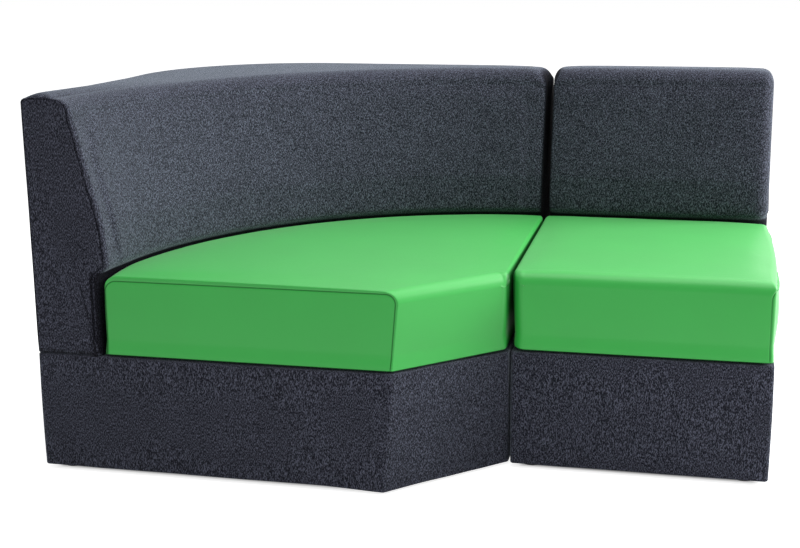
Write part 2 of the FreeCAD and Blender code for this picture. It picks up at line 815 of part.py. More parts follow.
def straight_wire(level, left, right, front, rear, rounding):
    """A rectangle with rounded corners at one level."""
    corners = []
    for x, y, side, way in ((left, front, 1, 1), (right, front, -1, 1), (right, rear, -1, -1), (left, rear, 1, -1)):
        along = (x + rounding * side, y)
        up = (x, y + rounding * way)
        centre = (along[0], up[1])
        begin, finish = (up, along) if side == way else (along, up)
        corners.append((begin, finish, centre, None))
    return ring(level, corners)


def straight_seat_wire(level, inset, rounding):
    """The straight cushion at one level."""
    right = plain("straight_width") - inset
    return straight_wire(level, inset, right, inset, SEAT_DEPTH.value - inset, rounding)


def seat_rows(skin):
    """Levels and insets up a cushion, drawn in by skin: drawn-in foot, full sides, crowned top."""
    foot = plain("base_top")
    edge = plain("seat_edge_round")
    top = plain("seat_top") - skin
    tuck = plain("seat_draw_in")
    rows = [(foot + skin, tuck + skin), (foot + edge, tuck / 5 + skin), ((foot + top) / 2, skin)]
    rows += [(top - edge * up, edge * across + skin) for across, up in ROUND_SHARES]
    reach = SEAT_DEPTH.value
    rows += [(top + plain("seat_crown") * up, edge + reach * across) for across, up in CROWN_SHARES]
    return rows


def stack(wires):
    """One solid through a pile of level wires."""
    return Part.makeLoft(wires, True, True)


def slab(wire, thickness):
    """A flat sheet cut to one wire."""
    return Part.Face(wire).extrude(Vector(0, 0, thickness))


def soft(name, x, y, shape):
    """A formed piece, placed in the row frame by formula after its shape is set."""
    feature = doc.addObject("Part::Feature", name)
    feature.Label = name
    feature.Shape = shape.removeSplitter()
    place(feature, x, y)
    return feature


def seat_pieces(name, unit_x, unit_y, wire):
    """Board, foam and seamed cover of one cushion."""
    layer = plain("cover_thick")
    gap = plain("layer_gap")
    corner = plain("seat_edge_round")
    foot = plain("base_top")
    cover = stack([wire(level, inset, corner) for level, inset in seat_rows(0)])
    hollow = stack([wire(level, inset, corner - layer) for level, inset in seat_rows(layer)])
    opening = slab(wire(foot, plain("hem_width"), corner), layer * 2)
    cover = cover.cut(hollow).cut(opening)

    tuck = plain("seat_draw_in") + layer + gap
    board_wire = wire(SEAT_BOARD_FOOT.value, tuck, corner)
    sheet_shape = slab(board_wire, plain("seat_board"))
    drill_shape = Part.makeCylinder(plain("screw_radius") + plain("run_gap"), plain("seat_board"))
    for x, y in SEAT_SCREWS[name]:
        hole = drill_shape.copy()
        shift = plain("corner_setback") if name == "corner" else 0
        hole.translate(Vector(number(x), number(y) + shift, SEAT_BOARD_FOOT.value))
        sheet_shape = sheet_shape.cut(hole)

    rows = [(SEAT_BOARD_TOP.value, tuck)]
    rows += [row for row in seat_rows(layer + gap) if row[0] > SEAT_BOARD_TOP.value]
    foam = stack([wire(level, inset, corner - layer) for level, inset in rows])
    return [
        soft(f"{name}_seat_cover", unit_x, unit_y, cover),
        soft(f"{name}_seat_board", unit_x, unit_y, sheet_shape),
        soft(f"{name}_seat_foam", unit_x, unit_y, foam),
    ]


SEAT_SCREWS = {"corner": CORNER_SCREWS, "straight": STRAIGHT_SCREWS}
CENTRE_Y = FRONT_Y - sizes["corner_setback"]


def corner_back_wire(level, thickness, rear, end, rounding):
    """The corner back at one level: curved front, square rear with one large rounded corner."""
    span = CORNER_SPAN.value
    radius = span - thickness
    across = end + rounding
    rise = math.sqrt((radius + rounding) ** 2 - across ** 2)
    scale = radius / (radius + rounding)
    near = ((-across * scale, rise * scale), (-end, rise), (-across, rise), None)
    back = span - rear
    far = ((-end, back - rounding), (-across, back), (-across, back - rounding), None)
    arc = REAR_ARC.value
    bent = ((-arc, back), (-back, arc), (-arc, arc), None)
    corners = [near, far, bent, mirrored(far), mirrored(near)]
    edges = []
    for index, (start, finish, centre, _) in enumerate(corners):
        edges.append(bend(centre, start, finish, level))
        following = corners[(index + 1) % len(corners)][0]
        if index < len(corners) - 1:
            edges.append(Part.LineSegment(Vector(*finish, level), Vector(*following, level)).toShape())
        else:
            edges.append(bend((0, 0), finish, following, level))
    return Part.Wire(edges)


def straight_back_wire(level, thickness, rear, end, rounding):
    """The straight back at one level."""
    depth = plain("unit_depth")
    width = plain("straight_width")
    return straight_wire(level, end, width - end, depth - thickness, depth - rear, rounding)


def back_rows(skin):
    """Level, thickness, rear inset and end inset up a back, drawn in by skin."""
    foot = plain("base_top")
    seat = plain("seat_top")
    top = plain("back_top") - skin
    waist = plain("back_waist_thick")
    head = plain("back_head_thick")
    curve = plain("back_head_round")
    base = plain("back_base_thick")
    edge = plain("back_end_round")
    shoulder = top - curve
    belly = seat + (shoulder - seat) * WAIST_SHARE
    rows = [(foot + skin, base), (seat, base), (seat + edge, waist)]
    for up, share in BACK_TAPER_SHARES:
        rows.append((belly + (shoulder - belly) * up, head + (waist - head) * share))
    rows = [(level, thickness - skin, skin, skin) for level, thickness in rows]
    for across, up in ROUND_SHARES:
        level = top - curve * up
        corner = min(1, up * curve / edge)
        inset = skin + edge * (1 - math.sqrt(1 - (1 - corner) ** 2))
        rows.append((level, head - skin - curve * across, inset, inset))
    return rows


def frame_thickness(level):
    """Thickness of the plywood frame at a level, from the rear of the unit."""
    foot = SEAT_BOARD_FOOT
    top = FRAME_TOP
    slope = (sizes["frame_base_thick"] - sizes["frame_cap_thick"]) / (top - foot)
    return sizes["frame_base_thick"] - (level - foot) * slope


FRAME_TOP = sizes["back_top"] - sizes["frame_top_set"]


def foam_wedges():
    """Upright wedges about the centre of the curve, one for each slab of the corner back's foam."""
    reach = CORNER_SPAN.value * 2
    turn = math.radians(90) / FOAM_SLABS
    corners = [(-reach * math.sin(turn * step), reach * math.cos(turn * step)) for step in range(FOAM_SLABS + 1)]
    wedges = []
    for first, last in zip(corners, corners[1:]):
        outline = [Vector(x, y, 0) for x, y in ((0, 0), first, last, (0, 0))]
        wedges.append(slab(Part.makePolygon(outline), plain("back_top")))
    return wedges


FOAM_SLABS = 6


def back_soft_pieces(name, unit_x, unit_y, wire):
    """Foam block and sewn cover of one back."""
    layer = plain("cover_thick")
    gap = plain("layer_gap")
    room_gap = gap * 2
    rounding = plain("back_end_round")
    foot = plain("base_top")
    cover = stack([wire(*row, rounding) for row in back_rows(0)])
    hollow = stack([wire(*row, rounding - layer) for row in back_rows(layer)])
    hem = plain("hem_width")
    opening = slab(wire(foot, plain("back_base_thick") - hem, hem, hem, rounding), layer * 2)
    cover = cover.cut(hollow).cut(opening)
    foam = stack([wire(*row, rounding - layer) for row in back_rows(layer + gap)])
    levels = (SEAT_BOARD_FOOT, FRAME_TOP)
    rear = plain("frame_rear_set") - room_gap
    end = plain("frame_end_set") - room_gap
    room = [wire(level.value, frame_thickness(level).value + room_gap, rear, end, gap) for level in levels]
    room = [room[0].translated(Vector(0, 0, -layer))] + room + [room[1].translated(Vector(0, 0, gap))]
    foam = foam.cut(stack(room))
    if name == "corner":
        foam = Part.makeCompound([foam.common(wedge) for wedge in foam_wedges()])
    return [
        soft(f"{name}_back_cover", unit_x, unit_y, cover),
        soft(f"{name}_back_foam", unit_x, unit_y, foam),
    ]


# Frames of the backs. The corner frame's bodies stand about the centre of the curve.

def centred(name, turn=0):
    """An empty body about the centre of the corner unit's curved back."""
    body = doc.addObject("PartDesign::Body", name)
    body.Label = name
    body.Placement = App.Placement(Vector(), App.Rotation(Vector(0, 0, 1), turn))
    place(body, CORNER_X, CENTRE_Y)
    return body


def sector(inner, outer):
    """A quarter of a flat ring between two radii, trimmed back at both ends."""
    end = sizes["frame_end_set"]
    zero = end * 0
    near = leg(inner, end)
    far = leg(outer, end)
    return [
        (-end, far, zero, zero, outer, 1),
        (-far, end),
        (-near, end, zero, zero, inner, -1),
        (-end, near),
    ]


def plate_outline(level):
    """A horizontal plate of the corner back, between its two skins."""
    end = sizes["frame_end_set"]
    zero = end * 0
    front = CORNER_SPAN - frame_thickness(level) + sizes["skin_thick"] + sizes["layer_gap"]
    rear = CORNER_SPAN - sizes["frame_rear_set"] - sizes["skin_thick"] - sizes["layer_gap"]
    near = leg(front, end)
    bent = rear - REAR_ARC
    return [
        (-end, rear),
        (-REAR_ARC, rear, -REAR_ARC, REAR_ARC, bent, 1),
        (-rear, REAR_ARC),
        (-rear, end),
        (-near, end, zero, zero, front, -1),
        (-end, near),
    ]


def corner_back_frame():
    """Plates, formers, ribs and skins of the curved back."""
    span = CORNER_SPAN
    gap = sizes["layer_gap"]
    skin = sizes["skin_thick"]
    end = sizes["frame_end_set"]
    rib = sizes["rib_thick"]
    plate_top = SEAT_BOARD_FOOT + sizes["deck_thick"]
    cap_foot = FRAME_TOP - sizes["deck_thick"]
    levels = (SEAT_BOARD_FOOT, FRAME_TOP)
    wall_levels = (plate_top, cap_foot)
    rear_out = span - sizes["frame_rear_set"]
    rear_in = rear_out - skin

    def front(level):
        return span - frame_thickness(level)

    foot_plate = centred("corner_back_foot_plate")
    pad(foot_plate, SEAT_BOARD_FOOT, plate_top, plate_outline(plate_top))
    bolts = [(x, y + sizes["corner_setback"]) for x, y in CORNER_BOLTS]
    nut_foot = plate_top - sizes["tee_length"]
    drill(foot_plate, SEAT_BOARD_FOOT, plate_top, bolts, sizes["stem_radius"] + sizes["bolt_gap"])
    drill(foot_plate, nut_foot, plate_top, bolts, sizes["tee_radius"] + sizes["run_gap"])

    cap_plate = centred("corner_back_cap_plate")
    pad(cap_plate, cap_foot, FRAME_TOP, plate_outline(FRAME_TOP))

    front_skin = centred("corner_back_front_skin")
    rings = [sector(front(level), front(level) + skin) for level in levels]
    loft(front_skin, "PartDesign::AdditiveLoft", *levels, *rings)

    rear_skin = centred("corner_back_rear_skin")
    strip = [
        (-end, rear_in),
        (-end, rear_out),
        (-REAR_ARC, rear_out, -REAR_ARC, REAR_ARC, rear_out - REAR_ARC, 1),
        (-rear_out, REAR_ARC),
        (-rear_out, end),
        (-rear_in, end),
        (-rear_in, REAR_ARC, -REAR_ARC, REAR_ARC, rear_in - REAR_ARC, -1),
        (-REAR_ARC, rear_in),
    ]
    pad(rear_skin, *levels, strip)

    def former(level):
        near = front(level) + skin + gap
        return box_outline(-end - rib, -end, near, rear_in - gap)

    link_former = centred("corner_back_link_former")
    loft(link_former, "PartDesign::AdditiveLoft", *wall_levels, *[former(level) for level in wall_levels])
    open_former = centred("corner_back_open_former")
    turned_former = [[(-y, -x) for x, y in former(level)] for level in wall_levels]
    loft(open_former, "PartDesign::AdditiveLoft", *wall_levels, *turned_former)

    ribs = []
    half = rib / 2
    for turn in RIB_TURNS:
        ends = rib_ends(turn, rear_in - gap, half)
        body = centred(f"back_rib_{len(ribs) + 1}", turn)
        outlines = []
        for level in wall_levels:
            near = front(level) + skin + gap
            outlines.append([(-half, near), (half, near), (half, ends[1]), (-half, ends[0])])
        loft(body, "PartDesign::AdditiveLoft", *wall_levels, *outlines)
        ribs.append(body)
    ribs += [link_former, open_former]
    return [foot_plate, cap_plate, front_skin, rear_skin, group("corner_back_ribs", ribs)]


RIB_TURNS = (22.5, 45, 67.5)


def rib_ends(turn, wall, half):
    """How far a rib's two rear corners reach before the rear skin."""
    if turn == 45:
        reach = REAR_ARC * ROOT_TWO + leg(wall - REAR_ARC, half)
        return (reach, reach)
    from_square = math.radians(min(turn, 90 - turn))
    way = 1 if turn < 45 else -1
    slope_share = math.tan(from_square) * way
    return (wall / math.cos(from_square) + half * slope_share, wall / math.cos(from_square) - half * slope_share)


def straight_back_frame():
    """Plates, formers, rib and skins of the straight back."""
    depth = sizes["unit_depth"]
    width = sizes["straight_width"]
    end = sizes["frame_end_set"]
    skin = sizes["skin_thick"]
    rib = sizes["rib_thick"]
    plate_top = SEAT_BOARD_FOOT + sizes["deck_thick"]
    cap_foot = FRAME_TOP - sizes["deck_thick"]
    levels = (SEAT_BOARD_FOOT, FRAME_TOP)
    wall_levels = (plate_top, cap_foot)
    rear_out = depth - sizes["frame_rear_set"]
    rear_in = rear_out - skin

    def front(level):
        return depth - frame_thickness(level)

    def between(level, left, right):
        return box_outline(left, right, front(level) + skin, rear_in)

    foot_plate = new_body("straight_back_foot_plate", STRAIGHT_X)
    pad(foot_plate, SEAT_BOARD_FOOT, plate_top, between(plate_top, end, width - end))
    nut_foot = plate_top - sizes["tee_length"]
    drill(foot_plate, SEAT_BOARD_FOOT, plate_top, STRAIGHT_BOLTS, sizes["stem_radius"] + sizes["bolt_gap"])
    drill(foot_plate, nut_foot, plate_top, STRAIGHT_BOLTS, sizes["tee_radius"] + sizes["run_gap"])
    cap_plate = new_body("straight_back_cap_plate", STRAIGHT_X)
    pad(cap_plate, cap_foot, FRAME_TOP, between(FRAME_TOP, end, width - end))

    front_skin = new_body("straight_back_front_skin", STRAIGHT_X)
    strips = [box_outline(end, width - end, front(level), front(level) + skin) for level in levels]
    loft(front_skin, "PartDesign::AdditiveLoft", *levels, *strips)
    rear_skin = new_body("straight_back_rear_skin", STRAIGHT_X)
    pad(rear_skin, *levels, box_outline(end, width - end, rear_in, rear_out))

    formers = []
    middle = (width - rib) / 2
    for name, left in (("left", end), ("middle", middle), ("right", width - end - rib)):
        body = new_body(f"straight_back_{name}_former", STRAIGHT_X)
        outlines = [between(level, left, left + rib) for level in wall_levels]
        loft(body, "PartDesign::AdditiveLoft", *wall_levels, *outlines)
        formers.append(body)
    return [foot_plate, cap_plate, front_skin, rear_skin, group("straight_back_ribs", formers)]


def write_parts(nodes):
    """Check every object, then write one file for each node."""
    doc.recompute()
    broken = [thing.Name for thing in doc.Objects if {"Invalid", "Error"} & set(thing.State)]
    for node in nodes:
        shape = node.Shape
        if shape.isNull() or not shape.isValid() or not shape.Solids:
            broken.append(node.Label)
    if broken:
        raise RuntimeError(f"failed objects: {broken}")
    os.makedirs("parts", exist_ok=True)
    for node in nodes:
        node.Shape.exportStep(f"parts/{node.Label}.step")
        solids = node.Shape.Solids
        print(f"{node.Label}: {len(solids)} solids, {node.Shape.Volume:.0f} mm3")
    print(len(nodes), "nodes")


def main():
    """Build the whole bench."""
    nodes = corner_base() + straight_base()
    nodes += seat_pieces("corner", CORNER_X, CENTRE_Y, corner_seat_wire)
    nodes += seat_pieces("straight", STRAIGHT_X, FRONT_Y, straight_seat_wire)
    nodes += back_soft_pieces("corner", CORNER_X, CENTRE_Y, corner_back_wire)
    nodes += back_soft_pieces("straight", STRAIGHT_X, FRONT_Y, straight_back_wire)
    nodes += corner_back_frame() + straight_back_frame()
    nodes += fasteners() + feet()
    nodes += [link_plate("link_plate_front", FRONT_LINK_Y, 1), link_plate("link_plate_rear", REAR_LINK_Y, -1)]
    write_parts(nodes)


main()
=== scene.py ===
"""Upholstered banquette: looks of the curved corner unit and the straight unit, around the packed model."""

import json
import math

import bmesh
import bpy
import numpy as np
from bpy.props import FloatProperty, FloatVectorProperty, IntProperty, PointerProperty
from bpy.types import Operator, Panel, PropertyGroup
from mathutils import Matrix, Vector, noise
from mathutils.geometry import delaunay_2d_cdt
from mathutils.kdtree import KDTree

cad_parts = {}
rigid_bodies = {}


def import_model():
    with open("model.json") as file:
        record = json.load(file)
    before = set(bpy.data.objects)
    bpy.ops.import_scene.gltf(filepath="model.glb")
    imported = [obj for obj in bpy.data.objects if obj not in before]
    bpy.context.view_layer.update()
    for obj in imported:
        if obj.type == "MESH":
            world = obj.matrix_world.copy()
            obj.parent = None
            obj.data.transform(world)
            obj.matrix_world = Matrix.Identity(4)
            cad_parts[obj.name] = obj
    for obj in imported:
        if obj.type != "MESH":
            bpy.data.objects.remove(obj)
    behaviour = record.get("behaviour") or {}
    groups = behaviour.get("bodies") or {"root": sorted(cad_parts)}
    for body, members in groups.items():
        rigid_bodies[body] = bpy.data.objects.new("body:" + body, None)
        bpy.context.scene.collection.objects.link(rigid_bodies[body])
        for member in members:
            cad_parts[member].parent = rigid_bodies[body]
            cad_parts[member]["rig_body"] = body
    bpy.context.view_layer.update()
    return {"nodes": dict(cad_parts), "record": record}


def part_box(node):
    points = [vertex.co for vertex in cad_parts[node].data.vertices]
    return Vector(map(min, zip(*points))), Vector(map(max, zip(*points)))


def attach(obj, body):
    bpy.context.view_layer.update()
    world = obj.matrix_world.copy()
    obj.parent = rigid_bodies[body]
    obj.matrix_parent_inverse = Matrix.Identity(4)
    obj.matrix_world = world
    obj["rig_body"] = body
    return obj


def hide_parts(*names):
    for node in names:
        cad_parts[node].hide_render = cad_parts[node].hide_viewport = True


bl_info = {
    "name": "Banquette upholstery",
    "version": (1, 0, 0),
    "blender": (4, 5, 0),
    "location": "3D View > Sidebar > Banquette",
    "description": "Dresses a modular banquette in woven fabric and vinyl",
    "category": "Object",
}

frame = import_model()

MM = 0.001
ROOT_TWO = math.sqrt(2)

# Places read from the frame, in metres.
CORNER_LOW, CORNER_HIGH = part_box("corner_base_cover")
STRAIGHT_LOW, STRAIGHT_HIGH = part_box("straight_base_cover")
BACK_LOW, BACK_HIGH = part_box("corner_back_cover")
SEAT_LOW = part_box("corner_seat_cover")[0]
HEM = CORNER_LOW.z
BASE_TOP = CORNER_HIGH.z
BACK_TOP = BACK_HIGH.z
SPAN = CORNER_HIGH.x - CORNER_LOW.x
DEPTH = STRAIGHT_HIGH.y - STRAIGHT_LOW.y
SETBACK = STRAIGHT_LOW.y - CORNER_LOW.y
WIDTH = STRAIGHT_HIGH.x - STRAIGHT_LOW.x
CENTRE = Vector((CORNER_HIGH.x, CORNER_LOW.y, 0))
STRAIGHT_ORIGIN = Vector((STRAIGHT_LOW.x, STRAIGHT_LOW.y, 0))
SEAT_RADIUS = CORNER_HIGH.x - SEAT_LOW.x
ROOT = frame["nodes"]["corner_seat_cover"]["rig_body"]


def colour(name, note, default):
    """A colour a user would change."""
    return FloatVectorProperty(
        name=name, description=note, default=default, subtype="COLOR", min=0, max=1, size=3
    )


def length(name, note, default):
    """A length a user would change, in metres."""
    return FloatProperty(name=name, description=note, default=default, unit="LENGTH", min=0, precision=4)


class FabricSettings(PropertyGroup):
    """Charcoal melange cloth of the bases and backs."""

    dark: colour("Dark yarn", "Colour of the dark ground", (0.0052, 0.0049, 0.0083))
    pale: colour("Pale yarn", "Colour of the light flecks", (0.123, 0.129, 0.18))
    fleck_width: length("Fleck width", "Width of one light fleck", 1.5 * MM)
    fleck_height: length("Fleck height", "Length of one light fleck up the cloth", 4.5 * MM)
    yarn: length("Yarn", "Distance between two yarns of the weave", 0.9 * MM)


class VinylSettings(PropertyGroup):
    """Green coated upholstery of the seats."""

    green: colour("Green", "Colour of the coating", (0.018, 0.422, 0.048))
    # The seam colour is painted shade, laid in seams and where the cushion meets its neighbours.
    seam: colour("Seam", "Colour inside a seam", (0.005, 0.06, 0.01))
    roughness: FloatProperty(
        name="Roughness", description="Dullness of the coating", default=0.5, min=0, max=1
    )
    grain: length("Grain", "Size of one pebble of the grain", 1.4 * MM)


class SeatSettings(PropertyGroup):
    """Form of the seat cushions"""

    top: length("Top", "Level of the cushion's top at its edge", 449 * MM)
    soft_edge: length("Soft edge", "Rounding of the seamless front edge", 27 * MM)
    side_edge: length("Side edge", "Rounding of the edge against the next cushion", 13 * MM)
    rear_edge: length("Rear edge", "Rounding of the edge against the back", 14 * MM)
    outer_edge: length("Outer edge", "Rounding over the straight cushion's outer end", 16 * MM)
    outer_corner: length("Outer corner", "Rounding of its upright front corner", 13 * MM)
    panel_rear: length("Panel rear", "Rounding of the end panel's rear corner", 30 * MM)
    seam_set: length("Seam place", "How far the seam runs inside the end panel's border", 4 * MM)
    seam_edge: length("Seamed edge", "Rounding of the edge that carries a seam", 4 * MM)
    foot_edge: length("Foot edge", "Rounding of the lower edge", 3 * MM)
    inner_foot: length("Inner foot", "Rounding of the lower edge against the next cushion", 14 * MM)
    tuck: length("Tuck", "How far the sides draw in at the foot", 1.5 * MM)
    puff: length("Puff", "How far the sides stand out at half height", 1 * MM)
    belly: length("Belly", "How far the straight cushion's outer end stands out at the top", 11 * MM)
    low_belly: length("Low belly", "How much further it stands out at half height", 9 * MM)
    narrow: length("Narrow", "How much shorter the straight cushion is at its outer corners", 0.5 * MM)
    join: length("Join", "How far a cushion would reach over the joint if nothing stopped it", 5 * MM)
    touch: length("Touch", "How far it does reach over", 2.8 * MM)
    rise: length("Rise", "How much higher the top lies at the rear", 5 * MM)
    crown: length("Crown", "Rise of the middle of the top", 6 * MM)
    dome: length("Dome", "How far from its edges the top is still rising", 90 * MM)
    corner: length("Corner", "Rounding of the upright corners", 27 * MM)
    rear_corner: length("Rear corner", "Rounding of the upright corners at the back", 34 * MM)
    slot: length("Slot", "Height of the shadow gap under the cushion's border", 5 * MM)
    seam_corner: length("Seamed corner", "Rounding of an upright corner with a seam", 4 * MM)
    clear: length("Clearance", "How much smaller the cushion starts than its place", 2 * MM)
    seam_width: length("Seam width", "Half width of a seam's dip", 1.9 * MM)
    seam_depth: length("Seam depth", "Depth of a seam", 1.5 * MM)
    voxel: length("Mesh", "Size of one square of the mesh that is blown up", 13 * MM)
    pressure: FloatProperty(name="Pressure", description="Push of the foam", default=4, min=0)
    evening: IntProperty(
        name="Evening", description="How often the swelling is evened out", default=14, min=0
    )
    limit: length("Swelling", "Most that a point may move", 5 * MM)
    top_share: FloatProperty(name="Top swelling", description="Share of it on the top", default=0.7, min=0)


class BackSettings(PropertyGroup):
    """Form of the backs"""

    cap: length("Cap", "Thickness of the flat top", 76 * MM)
    head: length("Head", "Thickness below the rounded top edge", 114 * MM)
    front_round: length("Front edge", "Rounding of the top front edge", 38 * MM)
    rear_round: length("Rear edge", "Rounding of the top rear edge", 34 * MM)
    seamed_rear_round: length("Seamed rear edge", "The same at the seamed open end", 9 * MM)
    soft_end: length("Soft end", "Rounding of the top corner where two backs meet", 32 * MM)
    seamed_end: length("Seamed end", "Rounding round the seamed open end", 16 * MM)
    outer_end: length("Outer end", "Rounding round the straight back's outer end", 30 * MM)
    join: length("Join", "How far a back reaches over towards the next one at the rear", 2.9 * MM)
    part: length("Part", "How much shorter it is in front than at the rear", 7 * MM)
    crown: length("Crown", "Rise of the top between its edges", 0.5 * MM)
    sink: length("Sink", "How far the top lies below the frame's", 2 * MM)
    corner_sink: length("Corner sink", "How much lower still the curved back's top lies", 2.5 * MM)
    droop: length("Droop", "How far the top falls towards an end that isn't seamed", 8 * MM)
    droop_reach: length("Droop reach", "How far from that end it falls", 40 * MM)
    end_crown: length("End crown", "Rise of the top near the open end", 11 * MM)
    crown_start: length("Crown start", "How soon the top rises behind the open end", 9 * MM)
    end_lift: length("End lift", "How much higher the top is at the open end", 4 * MM)
    soft_front: FloatProperty(
        name="Soft front", description="Share of a soft end's rounding in front", default=0.32
    )
    soft_rear: FloatProperty(
        name="Soft rear", description="Share of a soft end's rounding at the rear", default=0.05
    )
    seamed_top: FloatProperty(
        name="Seamed top", description="Share of the seamed end's rounding on top", default=0.2
    )
    puff: length("End puff", "How far an end panel stands out", 1.5 * MM)
    seam_width: length("Seam width", "Half width of a seam's dip", 3 * MM)
    seam_depth: length("Seam depth", "Depth of a seam", 2 * MM)
    voxel: length("Mesh", "Size of one square of the mesh that is blown up", 13 * MM)
    pressure: FloatProperty(name="Pressure", description="Push of the foam", default=4, min=0)
    evening: IntProperty(
        name="Evening", description="How often the swelling is evened out", default=24, min=0
    )
    limit: length("Swelling", "Most that a point may move", 3 * MM)
    top_share: FloatProperty(name="Top swelling", description="Share of it on the top", default=0.3, min=0)


class BaseSettings(PropertyGroup):
    """Form of the covered bases"""

    corner: length("Corner", "Rounding of the upright corners", 9 * MM)
    big_round: length("Rear corner", "Rounding of the rear corner", 420 * MM)
    edge: length("Edge", "Rounding of the upper and lower edges", 3 * MM)
    lean: length("Lean", "How far the angled front falls back at the hem", 15 * MM)
    hem: length("Hem", "Width of the cloth turned under", 30 * MM)
    drop: length("Hem drop", "How far the cloth hangs below its panel", 1 * MM)
    fullness: length("Fullness", "How much longer the padding makes each unit", 6 * MM)
    wave: length("Wave", "Unevenness of the hem", 1.6 * MM)
    puff: length("Puff", "How far the sides stand out at half height", 1 * MM)
    front_drop: length("Front drop", "How much lower the hem of the angled front hangs", 5 * MM)
    cloth_set: length("Dust cloth place", "How far the dust cloth's edge lies inside the hem", 12 * MM)
    cloth_grid: length("Dust cloth mesh", "Size of one patch of the dust cloth's mesh", 22 * MM)
    sag: length("Sag", "How far the dust cloth sags in the middle", 1.2 * MM)
    foot_hole: length("Foot hole", "Radius of the dust cloth's holes for the feet", 25 * MM)
    bolt_hole: length("Bolt hole", "Radius of the dust cloth's holes for the link bolts", 9.5 * MM)
    staple_gap: length("Staple gap", "Distance between two staples", 55 * MM)
    plate_reach: length("Plate reach", "How far round a bolt or foot the cloth clears the plates", 140 * MM)
    staple_wide: length("Staple", "Width of one staple", 11 * MM)
    staple_wire: length("Staple wire", "Thickness of a staple's wire", 1 * MM)


def place_of(name, note, default):
    """A place in space, in metres."""
    return FloatVectorProperty(name=name, description=note, default=default, size=3, unit="LENGTH")


class StageSettings(PropertyGroup):
    """Camera, floor and lamps"""

    eye: place_of("Eye", "Place of the camera", (0.631239, -3.171155, 1.157754))
    yaw: FloatProperty(name="Yaw", description="Turn to the left", default=0.2217, unit="ROTATION")
    pitch: FloatProperty(name="Pitch", description="Look down", default=0.2398, unit="ROTATION")
    roll: FloatProperty(name="Roll", description="Lean of the camera", default=-0.0076, unit="ROTATION")
    focal: FloatProperty(name="Lens", description="Focal length in millimetres", default=61.86)
    paper: colour("Paper", "Colour of the floor", (0.75, 0.75, 0.75))
    glow: FloatProperty(name="Glow", description="How much paler the camera sees the floor", default=0.85)
    shadow: length("Shadow", "How wide the floor's own shade fades under the bench", 24 * MM)
    shadow_set: length("Shadow place", "How far inside the hem that shade starts", 24 * MM)
    sky: FloatProperty(name="Sky", description="Strength of the even light from all round", default=0.35)
    aim: place_of("Aim", "Where the lamps point", (0, 0, 0.4))
    key_place: place_of("Key place", "Place of the lamp on the right", (3.6, 0.9, 1.9))
    key_size: length("Key size", "Side of the lamp on the right", 2)
    key: FloatProperty(name="Key", description="Power of the lamp on the right in watts", default=155)
    top_place: place_of("Top place", "Place of the lamp overhead", (1.5, 0.9, 2.1))
    top_size: length("Top size", "Side of the lamp overhead", 2)
    top: FloatProperty(name="Top", description="Power of the lamp overhead in watts", default=33)
    front_place: place_of("Front place", "Place of the lamp above the seats", (0.2, -0.7, 3.2))
    front_size: length("Front size", "Side of the lamp above the seats", 2.5)
    front: FloatProperty(name="Front", description="Power of the lamp above the seats in watts", default=50)


# Outlines in plan: closed loops with the same samples at every inset.

CORNER_BASE_STEPS = (60, 100, 80, 80, 130)
CORNER_BASE_TURNS = (10, 10, 10, 60, 10)
STRAIGHT_STEPS = (80, 110, 80, 110)
STRAIGHT_TURNS = (10, 10, 10, 10)
SEAT_STEPS = (64, 90, 150, 110)
SEAT_TURNS = (10, 10, 10, 10)
LEAST_ROUND = 0.4 * MM
PLAN_OUTSET = -8 * MM
PLAN_INSET = 60 * MM
PLAN_SAMPLES = 69


def arc(centre, radius, first, last, count):
    """Samples along an arc, without its last point."""
    turn = np.linspace(first, last, count, endpoint=False)
    return np.column_stack((centre[0] + radius * np.cos(turn), centre[1] + radius * np.sin(turn)))


def line(start, end, count):
    """Samples along a line, closer at both ends, without its last point."""
    share = np.linspace(0, 1, count, endpoint=False)[:, None]
    share = share - 0.85 * np.sin(2 * math.pi * share) / (2 * math.pi)
    return np.asarray(start) * (1 - share) + np.asarray(end) * share


def corner_turn(before, point, after, radius):
    """The start, end and centre of a rounding at a polygon's corner."""
    back = np.asarray(before, float) - point
    ahead = np.asarray(after, float) - point
    back /= np.linalg.norm(back)
    ahead /= np.linalg.norm(ahead)
    half = math.acos(np.clip(back @ ahead, -1, 1)) / 2
    reach = radius / math.tan(half)
    middle = (back + ahead) / np.linalg.norm(back + ahead)
    return point + back * reach, point + ahead * reach, point + middle * radius / math.sin(half)


def bend(start, end, centre, count):
    """Samples round a corner that turns to the left."""
    first = math.atan2(start[1] - centre[1], start[0] - centre[0])
    last = math.atan2(end[1] - centre[1], end[0] - centre[0])
    return arc(centre, np.hypot(*(start - centre)), first, first + (last - first) % (2 * math.pi), count)


def rounded(points, radii, steps, corner_steps):
    """A polygon with rounded corners, each followed by its side."""
    points = [np.asarray(point, float) for point in points]
    total = len(points)
    turns = [
        corner_turn(points[index - 1], points[index], points[(index + 1) % total], radii[index])
        for index in range(total)
    ]
    parts = []
    for index, (start, end, centre) in enumerate(turns):
        parts.append(bend(start, end, centre, corner_steps[index]))
        parts.append(line(end, turns[(index + 1) % total][0], steps[index]))
    return np.vstack(parts)


def tight(radius, inset):
    """A corner's rounding at an inset; far in it grows again, which keeps the mesh even."""
    return max(radius - inset, LEAST_ROUND + 0.3 * max(inset, 0))


def corner_unit_points(inset, lean):
    """The corner unit's plan about the centre of its curve, from the outer end of its angled front."""
    front = (inset + lean) * ROOT_TWO
    return [
        (inset - SETBACK - front, inset),
        (-inset, SETBACK + front - inset),
        (-inset, SPAN - inset),
        (inset - SPAN, SPAN - inset),
        (inset - SPAN, inset),
    ]


def corner_base_outline(inset, lean, radii):
    """The corner base's plan; the fourth rounding is the large one at the rear."""
    rounds = [tight(radius, inset) for radius in radii]
    return rounded(corner_unit_points(inset, lean), rounds, CORNER_BASE_STEPS, CORNER_BASE_TURNS)


